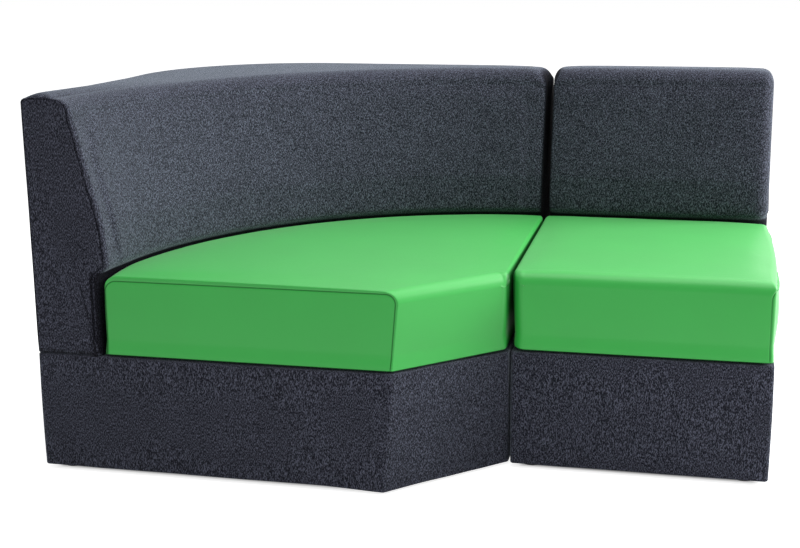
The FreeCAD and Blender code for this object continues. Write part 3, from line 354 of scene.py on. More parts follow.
def straight_outline(inset, radii, depth):
    """A straight unit's plan from its front left corner, as deep as is asked."""
    rounds = [tight(radius, inset) for radius in radii]
    points = [(inset, inset), (WIDTH - inset, inset), (WIDTH - inset, depth - inset), (inset, depth - inset)]
    return rounded(points, rounds, STRAIGHT_STEPS, STRAIGHT_TURNS)


def corner_seat_outline(inset, lean, radii):
    """The corner seat's plan: angled front, straight ends and a curved rear."""
    rounds = [tight(radius, inset) for radius in radii]
    reach = SEAT_RADIUS - inset
    front, inner = corner_unit_points(inset, lean)[:2]
    first = corner_turn((-reach, inset), np.array(front), inner, rounds[0])
    second = corner_turn(front, np.array(inner), (-inset, reach), rounds[1])
    height = math.sqrt((reach - rounds[2]) ** 2 - (inset + rounds[2]) ** 2)
    middle = np.array((-inset - rounds[2], height))
    third = (middle + (rounds[2], 0), middle * reach / (reach - rounds[2]), middle)
    across = math.sqrt((reach - rounds[3]) ** 2 - (inset + rounds[3]) ** 2)
    middle = np.array((-across, inset + rounds[3]))
    fourth = (middle * reach / (reach - rounds[3]), middle - (0, rounds[3]), middle)
    start = math.atan2(third[1][1], third[1][0])
    end = math.atan2(fourth[0][1], fourth[0][0])
    return np.vstack((
        bend(*first, SEAT_TURNS[0]), line(first[1], second[0], SEAT_STEPS[0]),
        bend(*second, SEAT_TURNS[1]), line(second[1], third[0], SEAT_STEPS[1]),
        bend(*third, SEAT_TURNS[2]), arc((0, 0), reach, start, end, SEAT_STEPS[2]),
        bend(*fourth, SEAT_TURNS[3]), line(fourth[1], first[0], SEAT_STEPS[3]),
    ))


def along_sides(values, turns, steps):
    """One value for each sample of an outline, blended round the corners."""
    parts = []
    for index, (turn, step) in enumerate(zip(turns, steps)):
        parts.append(np.linspace(values[index - 1], values[index], turn, endpoint=False))
        parts.append(np.full(step, values[index]))
    return np.concatenate(parts)


class Plan:
    """An outline that can be drawn in by a different amount at each sample."""

    def __init__(self, draw):
        self.insets = np.linspace(PLAN_OUTSET, PLAN_INSET, PLAN_SAMPLES)
        self.table = np.array([draw(inset, 0) for inset in self.insets])
        self.shift = draw(0, MM) - draw(0, 0)

    def at(self, inset, lean=0.0):
        """The outline at an inset and a lean, each one value or one for each sample."""
        count = self.table.shape[1]
        inset = np.broadcast_to(inset, count)
        last = len(self.insets) - 1
        place = np.clip(np.interp(inset, self.insets, np.arange(last + 1)), 0, last - 0.001)
        low = place.astype(int)
        share = (place - low)[:, None]
        pick = np.arange(count)
        points = self.table[low, pick] * (1 - share) + self.table[low + 1, pick] * share
        return points + self.shift * (np.broadcast_to(lean, count)[:, None] / MM)


# Meshes

MERGE = 0.04 * MM
SMALLEST = 1e-9
HELD = 4 * MM
FREE_ABOVE = 40 * MM
SWELL_STEPS = 20


def new_piece(name, points, faces):
    """A smooth mesh object from points and faces, merged and turned outwards."""
    mesh = bpy.data.meshes.new(name)
    mesh.from_pydata(np.asarray(points).tolist(), [], faces)
    work = bmesh.new()
    work.from_mesh(mesh)
    bmesh.ops.remove_doubles(work, verts=work.verts, dist=MERGE)
    bmesh.ops.recalc_face_normals(work, faces=work.faces)
    work.to_mesh(mesh)
    work.free()
    mesh.polygons.foreach_set("use_smooth", [True] * len(mesh.polygons))
    piece = bpy.data.objects.new(name, mesh)
    bpy.context.scene.collection.objects.link(piece)
    return piece


def wall(rows, count, around=False):
    """Quads between neighbouring rings; around also joins the last ring to the first."""
    faces = []
    for row in range(rows if around else rows - 1):
        low = row * count
        high = (row + 1) % rows * count
        for step in range(count):
            following = (step + 1) % count
            faces.append((low + step, low + following, high + following, high + step))
    return faces


def closed_skin(name, rings):
    """A closed skin through rings, filled at both ends."""
    count = len(rings[0])
    points = np.vstack([*rings, rings[0].mean(0)[None], rings[-1].mean(0)[None]])
    faces = wall(len(rings), count)
    last = (len(rings) - 1) * count
    for step in range(count):
        following = (step + 1) % count
        faces.append((following, step, len(points) - 2))
        faces.append((last + step, last + following, len(points) - 1))
    return new_piece(name, points, faces)


def lift(outline, level):
    """Plan samples raised to a level, one for all or one for each."""
    return np.column_stack((outline, np.broadcast_to(level, len(outline))))


def coordinates(mesh):
    """The points of a mesh."""
    points = np.empty(len(mesh.vertices) * 3)
    mesh.vertices.foreach_get("co", points)
    return points.reshape(-1, 3)


def directions(mesh):
    """The normals of a mesh."""
    normals = np.empty(len(mesh.vertices) * 3)
    mesh.vertices.foreach_get("normal", normals)
    return normals.reshape(-1, 3)


def put(mesh, points):
    """Write the points of a mesh."""
    mesh.vertices.foreach_set("co", np.asarray(points, float).ravel())
    mesh.update()


def wander(points, scale, height, seed):
    """Smooth uneven shifts, for cloth that isn't perfectly even."""
    offset = Vector((seed, 2 * seed, 3 * seed))
    return np.array([noise.noise(Vector(point) / scale + offset) for point in points]) * height


def bake(piece):
    """Apply a piece's modifiers."""
    depsgraph = bpy.context.evaluated_depsgraph_get()
    mesh = bpy.data.meshes.new_from_object(piece.evaluated_get(depsgraph))
    old = piece.data
    piece.modifiers.clear()
    piece.data = mesh
    bpy.data.meshes.remove(old)
    mesh.name = piece.name


def evened(moves, edges, rounds):
    """Movements averaged between neighbouring points, which takes wrinkles out."""
    count = len(moves)
    links = np.concatenate((edges, edges[:, ::-1]))
    share = 1 / np.maximum(np.bincount(links[:, 0], minlength=count), 1)
    for _ in range(rounds):
        sums = [np.bincount(links[:, 0], moves[links[:, 1], axis], count) for axis in range(3)]
        moves = 0.5 * moves + 0.5 * np.column_stack(sums) * share[:, None]
    return moves


def eased(share):
    """A share from 0 to 1 that starts and ends slowly."""
    return share * share * (3 - 2 * share)


def freedom(points, normals, foot, top_share):
    """How freely a pad's points swell: not at all at its foot, and by a share on its top."""
    above = np.clip((points[:, 2] - foot - HELD) / FREE_ABOVE, 0, 1)
    flat = np.clip((normals[:, 2] - 0.3) / 0.5, 0, 1)
    return eased(above) * (1 - (1 - top_share) * flat)


def swell(piece, settings, foot):
    """Blow a pad up as its foam does, on a coarse copy, and let the pad's own skin follow it."""
    blown = bpy.data.objects.new("blown", piece.data.copy())
    bpy.context.scene.collection.objects.link(blown)
    change = blown.modifiers.new("even", "REMESH")
    change.mode = "VOXEL"
    change.voxel_size = settings.voxel
    bake(blown)
    rest = coordinates(blown.data)
    cloth = blown.modifiers.new("foam", "CLOTH")
    sim = cloth.settings
    sim.quality = 5
    sim.use_pressure = True
    sim.uniform_pressure_force = settings.pressure
    sim.effector_weights.gravity = 0
    scene = bpy.context.scene
    for step in range(1, SWELL_STEPS + 1):
        scene.frame_set(step)
    swollen = blown.evaluated_get(bpy.context.evaluated_depsgraph_get())
    moves = coordinates(swollen.data) - rest
    edges = np.empty(len(blown.data.edges) * 2, np.int32)
    blown.data.edges.foreach_get("vertices", edges)
    moves = evened(moves, edges.reshape(-1, 2), settings.evening)
    scene.frame_set(1)
    bpy.data.objects.remove(blown)
    tree = KDTree(len(rest))
    for index, point in enumerate(rest):
        tree.insert(point, index)
    tree.balance()
    points = coordinates(piece.data)
    followed = np.empty_like(points)
    for index, point in enumerate(points):
        near = tree.find_n(point, 6)
        weight = np.array([1 / (far + 0.2 * settings.voxel) ** 2 for _, _, far in near])
        followed[index] = weight @ moves[[place for _, place, _ in near]] / weight.sum()
    size = np.linalg.norm(followed, axis=1)[:, None]
    limit = settings.limit
    free = freedom(points, directions(piece.data), foot, settings.top_share)
    capped = followed / np.maximum(size, SMALLEST) * limit * np.tanh(size / limit)
    put(piece.data, points + capped * free[:, None])


def press_seam(piece, path, width, depth, mark=1.0):
    """Sink a seam into a piece along a path of points, and mark it for the material, which paints shade into
    the dip.
    """
    mesh = piece.data
    points = coordinates(mesh)
    path = np.asarray(path, float)
    margin = 4 * width
    near_box = ((points > path.min(0) - margin) & (points < path.max(0) + margin)).all(1)
    index = np.flatnonzero(near_box)
    close = np.full(len(index), np.inf)
    for start, end in zip(path[:-1], path[1:]):
        way = end - start
        share = np.clip((points[index] - start) @ way / max(way @ way, 1e-12), 0, 1)
        close = np.minimum(close, np.linalg.norm(points[index] - start - share[:, None] * way, axis=1))
    normals = directions(mesh)[index]
    points[index] -= normals * (depth * np.exp(-(close / width) ** 2))[:, None]
    put(mesh, points)
    # The seam attribute carries painted shade: the materials paint the dip darker and dim its sheen and coat
    # there.
    marks = mesh.attributes.get("seam") or mesh.attributes.new("seam", "FLOAT", "POINT")
    held = np.zeros(len(points), np.float32)
    marks.data.foreach_get("value", held)
    held[index] = np.maximum(held[index], mark * np.exp(-(close / (0.6 * width)) ** 2))
    marks.data.foreach_set("value", held)


def paint_contact_shade(piece, marks):
    """Paint shade into a piece's finish where it lies against its neighbours, through its seam attribute."""
    mesh = piece.data
    held = mesh.attributes.get("seam") or mesh.attributes.new("seam", "FLOAT", "POINT")
    values = np.zeros(len(mesh.vertices), np.float32)
    held.data.foreach_get("value", values)
    held.data.foreach_set("value", np.maximum(values, np.clip(marks, 0, 1)).astype(np.float32))


def settle(piece, origin, slot, *nodes):
    """Move a piece to its unit, fill it out at its outer end, tie it to the frame and give it its finish."""
    long = SPAN if origin is CENTRE else WIDTH
    full = 1 + bpy.context.scene.banquette_base.fullness / long
    piece.data.transform(Matrix.Translation(origin) @ Matrix.Diagonal((full, 1, 1, 1)))
    piece.data.materials.clear()
    piece.data.materials.append(finish(slot))
    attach(piece, ROOT)
    if nodes:
        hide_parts(*nodes)
    return piece


# Materials

FABRIC_CLOUDS = (80 * MM, 80 * MM, 130 * MM)
FABRIC_RELIEF = 0.5 * MM
FLECK_RELIEF = 0.6 * MM
VINYL_CLOUDS = (160 * MM,) * 3
VINYL_WEAR = (3 * MM,) * 3
VINYL_RIPPLES = (70 * MM,) * 3
GRAIN_RELIEF = 0.25 * MM
RIPPLE_RELIEF = 2 * MM
WOOD_GRAIN = (14 * MM, 120 * MM, 14 * MM)
WOOD_RELIEF = 0.3 * MM


class Nodes:
    """Short hand for building one material's nodes."""

    def __init__(self, name):
        self.material = bpy.data.materials.new(name)
        self.material.use_nodes = True
        self.tree = self.material.node_tree
        self.shader = self.tree.nodes["Principled BSDF"]

    def link(self, source, target):
        """Link one socket to another."""
        self.tree.links.new(source, target)

    def feed(self, target, value):
        """Give an input a socket, a number or a colour."""
        if isinstance(value, bpy.types.NodeSocket):
            self.link(value, target)
        else:
            target.default_value = (*value, 1) if isinstance(value, tuple) and len(value) == 3 else value

    def stretched(self, size):
        """Object coordinates divided by a size along each axis."""
        place = self.tree.nodes.new("ShaderNodeTexCoord")
        mapping = self.tree.nodes.new("ShaderNodeMapping")
        mapping.inputs["Scale"].default_value = [1 / part for part in size]
        self.link(place.outputs["Object"], mapping.inputs["Vector"])
        return mapping.outputs["Vector"]

    def noise(self, size, detail=2.0, rough=0.5):
        """Noise whose blobs have a size along each axis."""
        texture = self.tree.nodes.new("ShaderNodeTexNoise")
        texture.inputs["Scale"].default_value = 1
        texture.inputs["Detail"].default_value = detail
        texture.inputs["Roughness"].default_value = rough
        self.link(self.stretched(size), texture.inputs["Vector"])
        return texture.outputs["Fac"]

    def cells(self, size):
        """Pebbles of a size along each axis."""
        texture = self.tree.nodes.new("ShaderNodeTexVoronoi")
        texture.feature = "SMOOTH_F1"
        texture.inputs["Scale"].default_value = 1
        self.link(self.stretched(size), texture.inputs["Vector"])
        return texture.outputs["Distance"]

    def ramp(self, value, *stops):
        """Colours spread over a value; each stop is a place and a colour or grey."""
        node = self.tree.nodes.new("ShaderNodeValToRGB")
        elements = node.color_ramp.elements
        while len(elements) < len(stops):
            elements.new(0.5)
        for element, (place, shade) in zip(elements, stops):
            element.position = place
            element.color = (*shade, 1) if isinstance(shade, tuple) else (shade, shade, shade, 1)
        self.link(value, node.inputs["Fac"])
        return node.outputs["Color"]

    def math(self, operation, first, second):
        """A sum of two values."""
        node = self.tree.nodes.new("ShaderNodeMath")
        node.operation = operation
        self.feed(node.inputs[0], first)
        self.feed(node.inputs[1], second)
        return node.outputs["Value"]

    def mix(self, amount, first, second, kind="MIX"):
        """A blend of two colours."""
        node = self.tree.nodes.new("ShaderNodeMix")
        node.data_type = "RGBA"
        node.blend_type = kind
        self.feed(node.inputs[0], amount)
        self.feed(node.inputs[6], first)
        self.feed(node.inputs[7], second)
        return node.outputs[2]

    def seam(self, strength):
        """How much painted shade a point carries, from the seam attribute: in seams and where pieces meet,
        times a strength.
        """
        node = self.tree.nodes.new("ShaderNodeAttribute")
        node.attribute_name = "seam"
        return self.math("MULTIPLY", node.outputs["Fac"], strength)

    def bump(self, height, strength, distance, under=None):
        """Small relief, over an earlier relief if there is one."""
        node = self.tree.nodes.new("ShaderNodeBump")
        node.inputs["Strength"].default_value = strength
        node.inputs["Distance"].default_value = distance
        self.link(height, node.inputs["Height"])
        if under:
            self.link(under, node.inputs["Normal"])
        return node.outputs["Normal"]

    def surface(self, tint, rough, relief):
        """Feed the shader's colour, roughness and normal."""
        self.feed(self.shader.inputs["Base Color"], tint)
        self.feed(self.shader.inputs["Roughness"], rough)
        self.link(relief, self.shader.inputs["Normal"])
        return self.material


def darker(shade, share):
    """A colour dimmed by a share."""
    return tuple(part * share for part in shade)


def melange(name, settings):
    """Woven charcoal cloth with light flecks that run up it."""
    made = Nodes(name)
    wide = settings.fleck_width
    tall = settings.fleck_height
    fleck = made.noise((wide, wide, tall), 2.5, 0.6)
    light = made.ramp(fleck, (0.47, 0.0), (0.54, 0.4), (0.6, 1.0))
    speck = made.noise((wide * 0.6, wide * 0.6, wide), 2, 0.6)
    dots = made.ramp(speck, (0.5, 0.0), (0.75, 0.45))
    yarns = made.mix(made.math("MAXIMUM", light, dots), tuple(settings.dark), tuple(settings.pale))
    cloud = made.ramp(made.noise(FABRIC_CLOUDS, 3, 0.55), (0.3, 0.86), (0.7, 1.0))
    tone = made.mix(1.0, yarns, cloud, "MULTIPLY")
    # Painted shade: seams and the places where pieces meet are painted darker, and their sheen is dimmed
    # below.
    tone = made.mix(made.seam(0.8), tone, darker(settings.dark, 0.3))
    shader = made.shader
    shader.inputs["Specular IOR Level"].default_value = 0.08
    # The sheen is dimmed in the painted shade too.
    shown = made.math("SUBTRACT", fleck, made.seam(0.9))
    sheen = made.ramp(shown, (0.0, 0.0), (0.25, 0.12), (0.42, 0.12), (0.6, 0.42))
    made.link(sheen, shader.inputs["Sheen Weight"])
    shader.inputs["Sheen Roughness"].default_value = 0.5
    shader.inputs["Sheen Tint"].default_value = (0.75, 0.87, 1, 1)
    yarn = settings.yarn
    relief = made.bump(made.noise((yarn, yarn, yarn * 1.6), 1), 0.5, FABRIC_RELIEF)
    relief = made.bump(fleck, 0.35, FLECK_RELIEF, relief)
    return made.surface(tone, 0.92, relief)


def coated(name, settings):
    """Smooth green coated upholstery with a fine pebble grain."""
    made = Nodes(name)
    green = tuple(settings.green)
    tint = made.ramp(made.noise(VINYL_CLOUDS, 3), (0.3, darker(green, 0.94)), (0.7, green))
    # Painted shade: seams and the places where cushions meet their neighbours take the dark seam colour, and
    # lose sheen and coat below.
    tint = made.mix(made.seam(0.85), tint, tuple(settings.seam))
    rough = made.ramp(
        made.noise(VINYL_WEAR), (0.3, settings.roughness - 0.03), (0.7, settings.roughness + 0.04)
    )
    made.shader.inputs["Specular IOR Level"].default_value = 0.25
    made.link(made.ramp(made.seam(1.0), (0.0, 0.2), (0.7, 0.0)), made.shader.inputs["Sheen Weight"])
    made.shader.inputs["Sheen Roughness"].default_value = 0.4
    made.link(made.ramp(made.seam(1.0), (0.0, 0.8), (0.7, 0.0)), made.shader.inputs["Coat Weight"])
    made.shader.inputs["Coat Roughness"].default_value = 0.42
    relief = made.bump(made.cells((settings.grain,) * 3), 0.12, GRAIN_RELIEF)
    relief = made.bump(made.noise(VINYL_RIPPLES), 0.3, RIPPLE_RELIEF, relief)
    return made.surface(tint, rough, relief)


def wood(name, pale, dark):
    """Raw wood with its grain."""
    made = Nodes(name)
    grain = made.noise(WOOD_GRAIN, 4, 0.6)
    return made.surface(made.ramp(grain, (0.3, dark), (0.65, pale)), 0.7, made.bump(grain, 0.2, WOOD_RELIEF))


def grained(name, base, rough, size, metal=0.0):
    """A moulded, foamed, woven or plated finish with a fine grain."""
    made = Nodes(name)
    made.shader.inputs["Metallic"].default_value = metal
    grain = made.noise((size,) * 3, 3, 0.6)
    tint = made.ramp(grain, (0.3, darker(base, 0.8)), (0.7, base))
    return made.surface(tint, rough, made.bump(grain, 0.25, size * 0.4))


def finish(slot):
    """The material of one of the record's slots, made once."""
    name = "finish_" + slot
    if name in bpy.data.materials:
        return bpy.data.materials[name]
    scene = bpy.context.scene
    makers = {
        "upholstery_fabric": lambda: melange(name, scene.banquette_fabric),
        "seat_vinyl": lambda: coated(name, scene.banquette_vinyl),
        "plywood": lambda: wood(name, (0.68, 0.5, 0.3), (0.55, 0.37, 0.2)),
        "hardwood": lambda: wood(name, (0.5, 0.33, 0.17), (0.38, 0.23, 0.11)),
        "foam": lambda: grained(name, (0.8, 0.76, 0.62), 0.95, 2 * MM),
        "black_cloth": lambda: grained(name, (0.015, 0.015, 0.017), 0.9, 0.8 * MM),
        "black_plastic": lambda: grained(name, (0.012, 0.012, 0.013), 0.5, 0.6 * MM),
        "zinc_steel": lambda: grained(name, (0.55, 0.56, 0.58), 0.35, 1.5 * MM, 1.0),
    }
    return makers[slot]()


# Bases

CORNER_RADII = ("corner", "corner", "corner", "big_round", "corner")
CLOTH = 1.6 * MM
HEM_FADE = 25 * MM
HEM_WAVE = 110 * MM
SIDE_WAVE = 160 * MM
SIDE_UNEVEN = 0.8 * MM
FRONT_FADE = 60 * MM
DUST_CLOTH_UNDER = 0.6 * MM
DUST_CLOTH_THICK = 0.5 * MM
SAG_STEPS = 15
LEAST_SAG = 0.1 * MM
SAG_SLOPE = 0.02
STAPLE_UNDER = 0.9 * MM
STAPLE_LEG = 1.5 * MM
STAPLE_SET = 5 * MM
STAPLE_SIDES = 8


def base_lean(level, settings):
    """How far the angled front falls back at a level; above the base it goes on outwards."""
    return settings.lean * (BASE_TOP - level) / (BASE_TOP - HEM)


def cover_base(name, plan, settings, seed):
    """Cloth pulled over a base, turned in over the deck and under the hem."""
    edge = settings.edge
    skin = CLOTH
    turn = np.linspace(0, math.pi / 2, 8)
    hem = HEM - settings.drop
    rows = [(settings.hem, hem), (settings.hem * 0.5, hem)]
    rows += [(edge * (1 - math.sin(part)), hem + edge * (1 - math.cos(part))) for part in turn]
    full = np.linspace(0, 1, 26)[1:-1]
    height = BASE_TOP - hem - 2 * edge
    rows += [(-settings.puff * math.sin(math.pi * share), hem + edge + height * share) for share in full]
    rows += [(edge * (1 - math.cos(part)), BASE_TOP - edge * (1 - math.sin(part))) for part in turn]
    rows += [(settings.hem * 0.5, BASE_TOP), (settings.hem, BASE_TOP), (settings.hem, BASE_TOP - skin)]
    rows += [(edge, BASE_TOP - skin), (skin, BASE_TOP - edge), (skin, hem + edge), (edge, hem + skin)]
    rows += [(settings.hem, hem + skin)]
    rings = [lift(plan.at(inset, base_lean(level, settings)), level) for inset, level in rows]
    piece = new_piece(name, np.vstack(rings), wall(len(rings), len(rings[0]), around=True))
    points = coordinates(piece.data)
    low = np.exp(-((points[:, 2] - hem) / HEM_FADE))
    flat = points * (1, 1, 0)
    points[:, 2] += low * np.abs(wander(flat, HEM_WAVE, settings.wave, seed))
    points += directions(piece.data) * wander(points, SIDE_WAVE, SIDE_UNEVEN, seed + 1)[:, None]
    put(piece.data, points)
    return piece


def spaced(outline, gap):
    """Points of an outline about one gap apart."""
    way = np.linalg.norm(np.roll(outline, -1, axis=0) - outline, axis=1)
    run = np.concatenate(([0], np.cumsum(way)))
    marks = np.linspace(0, run[-1], max(8, round(run[-1] / gap)), endpoint=False)
    closed = np.vstack((outline, outline[:1]))
    return np.column_stack((np.interp(marks, run, closed[:, 0]), np.interp(marks, run, closed[:, 1])))


def ring_edges(start, count):
    """Edges round a closed loop of points."""
    return [(start + step, start + (step + 1) % count) for step in range(count)]


def dust_cloth(name, border, holes, settings):
    """Black cloth stapled under a base, cut out at holes and left to sag by a cloth simulation."""
    grid = settings.cloth_grid
    points = spaced(border, grid / 2)
    edges = ring_edges(0, len(points))
    for centre, radius in holes:
        ring = arc(centre, radius, 0, 2 * math.pi, 20)
        edges += ring_edges(len(points), len(ring))
        points = np.vstack((points, ring))
    fixed = len(points)
    low, high = border.min(0), border.max(0)
    across, along = np.meshgrid(np.arange(low[0], high[0], grid), np.arange(low[1], high[1], grid))
    inner = np.column_stack((across.ravel(), along.ravel()))
    inner = inner[outside(inner, spaced(border, grid / 2)) < -0.5 * grid]
    for centre, radius in holes:
        inner = inner[np.linalg.norm(inner - centre, axis=1) > radius + 0.4 * grid]
    points = np.vstack((points, inner))
    made = delaunay_2d_cdt([Vector(point) for point in points], edges, [], 4, 0.01 * MM)
    level = HEM - settings.drop - DUST_CLOTH_UNDER
    mesh = bpy.data.meshes.new(name)
    mesh.from_pydata([(*point, level) for point in made[0]], [], made[2])
    mesh.polygons.foreach_set("use_smooth", [True] * len(mesh.polygons))
    piece = bpy.data.objects.new(name, mesh)
    bpy.context.scene.collection.objects.link(piece)
    area = sum(face.area for face in mesh.polygons)
    held = piece.vertex_groups.new(name="stapled")
    pinned = [index for index, source in enumerate(made[3]) if source and source[0] < fixed]
    held.add(pinned, 1, "REPLACE")
    rest = coordinates(mesh)
    cloth = piece.modifiers.new("sag", "CLOTH")
    cloth.settings.vertex_group_mass = "stapled"
    for step in range(1, SAG_STEPS + 1):
        bpy.context.scene.frame_set(step)
    hung = coordinates(piece.evaluated_get(bpy.context.evaluated_depsgraph_get()).data) - rest
    bpy.context.scene.frame_set(1)
    piece.modifiers.clear()
    hung *= settings.sag / max(np.abs(hung[:, 2]).max(), SMALLEST)
    for centre, _ in holes:
        far = np.linalg.norm(rest[:, :2] - centre, axis=1) - settings.plate_reach
        hung[:, 2] = np.maximum(hung[:, 2], -LEAST_SAG - SAG_SLOPE * np.maximum(far, 0))
    put(mesh, rest + hung)
    fold = piece.modifiers.new("thickness", "SOLIDIFY")
    fold.thickness = DUST_CLOTH_THICK
    fold.offset = 0
    bake(piece)
    return piece, area


def staples(name, border, settings):
    """Wire staples along the edge of a dust cloth."""
    marks = spaced(border, settings.staple_gap)
    following = np.roll(marks, -1, axis=0)
    wire = settings.staple_wire / 2
    half = settings.staple_wide / 2 - wire
    level = HEM - settings.drop - STAPLE_UNDER - wire
    turn = np.linspace(0, 2 * math.pi, STAPLE_SIDES, endpoint=False)
    bends = np.linspace(0, math.pi / 2, 5)
    path = [(-half - wire, STAPLE_LEG)]
    path += [(-half - wire * math.cos(part), wire * (1 - math.sin(part))) for part in bends]
    path += [(-across, up) for across, up in path[::-1]]
    slopes = np.gradient(np.array(path), axis=0)
    points, faces = [], []
    for mark, ahead in zip(marks, following):
        way = (ahead - mark) / np.linalg.norm(ahead - mark)
        side = np.array((-way[1], way[0]))
        place = mark + side * STAPLE_SET
        start = len(points)
        for (across, up), slope in zip(path, slopes):
            lean = slope / np.linalg.norm(slope)
            for part in turn:
                flat = place + way * (across - lean[1] * wire * math.sin(part)) + side * wire * math.cos(part)
                points.append((*flat, level + up + lean[0] * wire * math.sin(part)))
        faces += [tuple(start + index for index in face) for face in wall(len(path), len(turn))]
        faces.append(tuple(range(start, start + STAPLE_SIDES)))
        faces.append(tuple(range(len(points) - STAPLE_SIDES, len(points))))
    return new_piece(name, points, faces)


def lay_dust_cloth(unit, plan, settings, origin):
    """A unit's dust cloth with its staples, tied to the frame."""
    border = plan.at(settings.cloth_set, base_lean(HEM, settings))
    holes = []
    for node in frame["nodes"]:
        if node.startswith(unit) and node.endswith("foot"):
            low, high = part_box(node)
            holes.append((np.array((low + high)[:2]) / 2 - np.array(origin[:2]), settings.foot_hole))
    low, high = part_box("link_pivot_bolts" if unit == "corner" else "link_studs")
    middle = (low.x + high.x) / 2 - origin.x
    bolt = (high.x - low.x) / 2
    for place in (low.y + bolt, high.y - bolt):
        holes.append((np.array((middle, place - origin.y)), settings.bolt_hole))
    cloth, area = dust_cloth(unit + "_dust_cloth", border, holes, settings)
    pins = staples(unit + "_dust_staples", border, settings)
    for piece, slot in ((cloth, "black_cloth"), (pins, "zinc_steel")):
        piece.data.transform(Matrix.Translation(origin))
        piece.data.materials.append(finish(slot))
        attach(piece, ROOT)
    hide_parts(unit + "_dust_cover")


class BANQUETTE_OT_bases(Operator):
    """Cover both bases in cloth"""

    bl_idname = "banquette.bases"
    bl_label = "Bases"

    def execute(self, context):
        settings = context.scene.banquette_base
        radii = [getattr(settings, part) for part in CORNER_RADII]
        plan = Plan(lambda inset, lean: corner_base_outline(inset, lean, radii))
        corner = cover_base("corner_base_upholstery", plan, settings, 3)
        points = coordinates(corner.data)
        front = (points[:, 1] - points[:, 0] - SETBACK) / ROOT_TWO - settings.lean
        low = np.clip(1 - (points[:, 2] - HEM) / FRONT_FADE, 0, 1)
        points[:, 2] -= settings.front_drop * low ** 2 * np.exp(-(front / FRONT_FADE) ** 2)
        put(corner.data, points)
        settle(corner, CENTRE, "upholstery_fabric", "corner_base_cover", "corner_base_padding")
        lay_dust_cloth("corner", plan, settings, CENTRE)
        radii = [settings.corner] * 4
        plan = Plan(lambda inset, lean: straight_outline(inset, radii, DEPTH))
        straight = cover_base("straight_base_upholstery", plan, settings, 7)
        settle(straight, STRAIGHT_ORIGIN, "upholstery_fabric", "straight_base_cover", "straight_base_padding")
        lay_dust_cloth("straight", plan, settings, STRAIGHT_ORIGIN)
        return {"FINISHED"}


# Seats

FOOT_TURNED_UNDER = 20 * MM
JOINT_SHADE = 4 * MM
REAR_SHADE = 5 * MM
FOOT_SHADE = 1.5 * MM
REAR_CORNER_REACH = 0.12
RISE_REACH = 0.2
LEAN_REACH = 0.3
WALL_ROWS = 60
EDGE_INSETS = [
    inset * MM for inset in
    (0.05, 0.2, 0.4, 0.7, 1.1, 1.6, 2.2, 2.9, 3.7, 4.6, 5.7, 7, 8.5, 10, 12, 14, 16.5, 19, 22, 25, 28, 32)
]
TOP_SHARES = np.concatenate((np.linspace(0.985, 0.85, 12), np.linspace(0.83, 0.05, 32)))


def drop(near, radius):
    """How far a rounded edge falls away at a distance in from it."""
    share = 1 - np.clip(near / radius, 0, 1)
    return radius * (1 - np.sqrt(1 - share ** 2))


def front_corner_fall(front, inner, cosine, settings):
    """How far the top falls towards the front, the inner end and the rounded corner between them.

    cosine is that of the angle between the two sides' directions.
    """
    radius = settings.corner
    over, past = front - radius, inner - radius
    spread = 1 - cosine ** 2
    to_front = (cosine * past - over) / spread
    to_inner = (cosine * over - past) / spread
    near = radius - np.sqrt(np.maximum(over ** 2 + past ** 2 - 2 * cosine * over * past, 0) / spread)
    both = (to_front > 0) & (to_inner > 0)
    share = to_front / np.where(both, to_front + to_inner, 1)
    turned = drop(near, settings.soft_edge * share + settings.side_edge * (1 - share))
    front_fall = np.where(to_inner <= 0, drop(front, settings.soft_edge), 0)
    inner_fall = np.where(to_front <= 0, drop(inner, settings.side_edge), 0)
    return np.where(both, turned, np.maximum(front_fall, inner_fall))


def cushion(name, plan, shape, settings):
    """A cushion over a plan, with the edges, slopes and insets of its shape."""
    foot = SEAT_LOW.z + settings.slot
    start = shape["lean"](settings.top)
    clear, puff, foot_edge = shape["clear"], shape["puff"], shape["foot_edge"]

    def height(flat):
        sides = shape["sides"](flat)
        near_end = np.clip(1 - sides[3] / REAR_CORNER_REACH, 0, 1)
        rear = settings.rear_edge + (settings.panel_rear - settings.rear_edge) * near_end
        falls = (front_corner_fall(sides[0], sides[1], shape["cosine"], settings), drop(sides[2], rear),
                 drop(sides[3], shape["outer_edge"]))
        dome = np.prod([1 - np.exp(-np.clip(near, 0, 1) / settings.dome) for near in sides], axis=0)
        rise = settings.rise * (1 - np.exp(-np.clip(sides[0], 0, 1) / RISE_REACH)) + settings.crown * dome
        return settings.top + rise - np.sqrt(sum(fall ** 2 for fall in falls))

    turn = np.linspace(0, math.pi / 2, 12)
    lean = shape["lean"](foot)
    rings = [lift(plan.at(settings.tuck + foot_edge + FOOT_TURNED_UNDER, lean), SEAT_LOW.z)]
    for part in turn:
        level = foot + foot_edge * (1 - math.cos(part))
        rings.append(lift(plan.at(settings.tuck + foot_edge * (1 - math.sin(part)), lean), level))
    border = height(plan.at(clear, start))
    low = foot + foot_edge
    for share in 1 - np.linspace(1, 0, WALL_ROWS)[1:] ** 1.5:
        level = low + (border - low) * share
        drawn = settings.tuck + (clear - settings.tuck) * eased(share) - puff * math.sin(math.pi * share)
        rings.append(lift(plan.at(drawn, start * share), level))
    for inset in EDGE_INSETS:
        flat = plan.at(clear + inset, start)
        rings.append(lift(flat, height(flat)))
    border = rings[-1]
    middle = np.append(border[:, :2].mean(0), settings.top)
    for share in TOP_SHARES:
        flat = middle[:2] + (border[:, :2] - middle[:2]) * share
        rings.append(lift(flat, height(flat)))
    return closed_skin(name, rings)


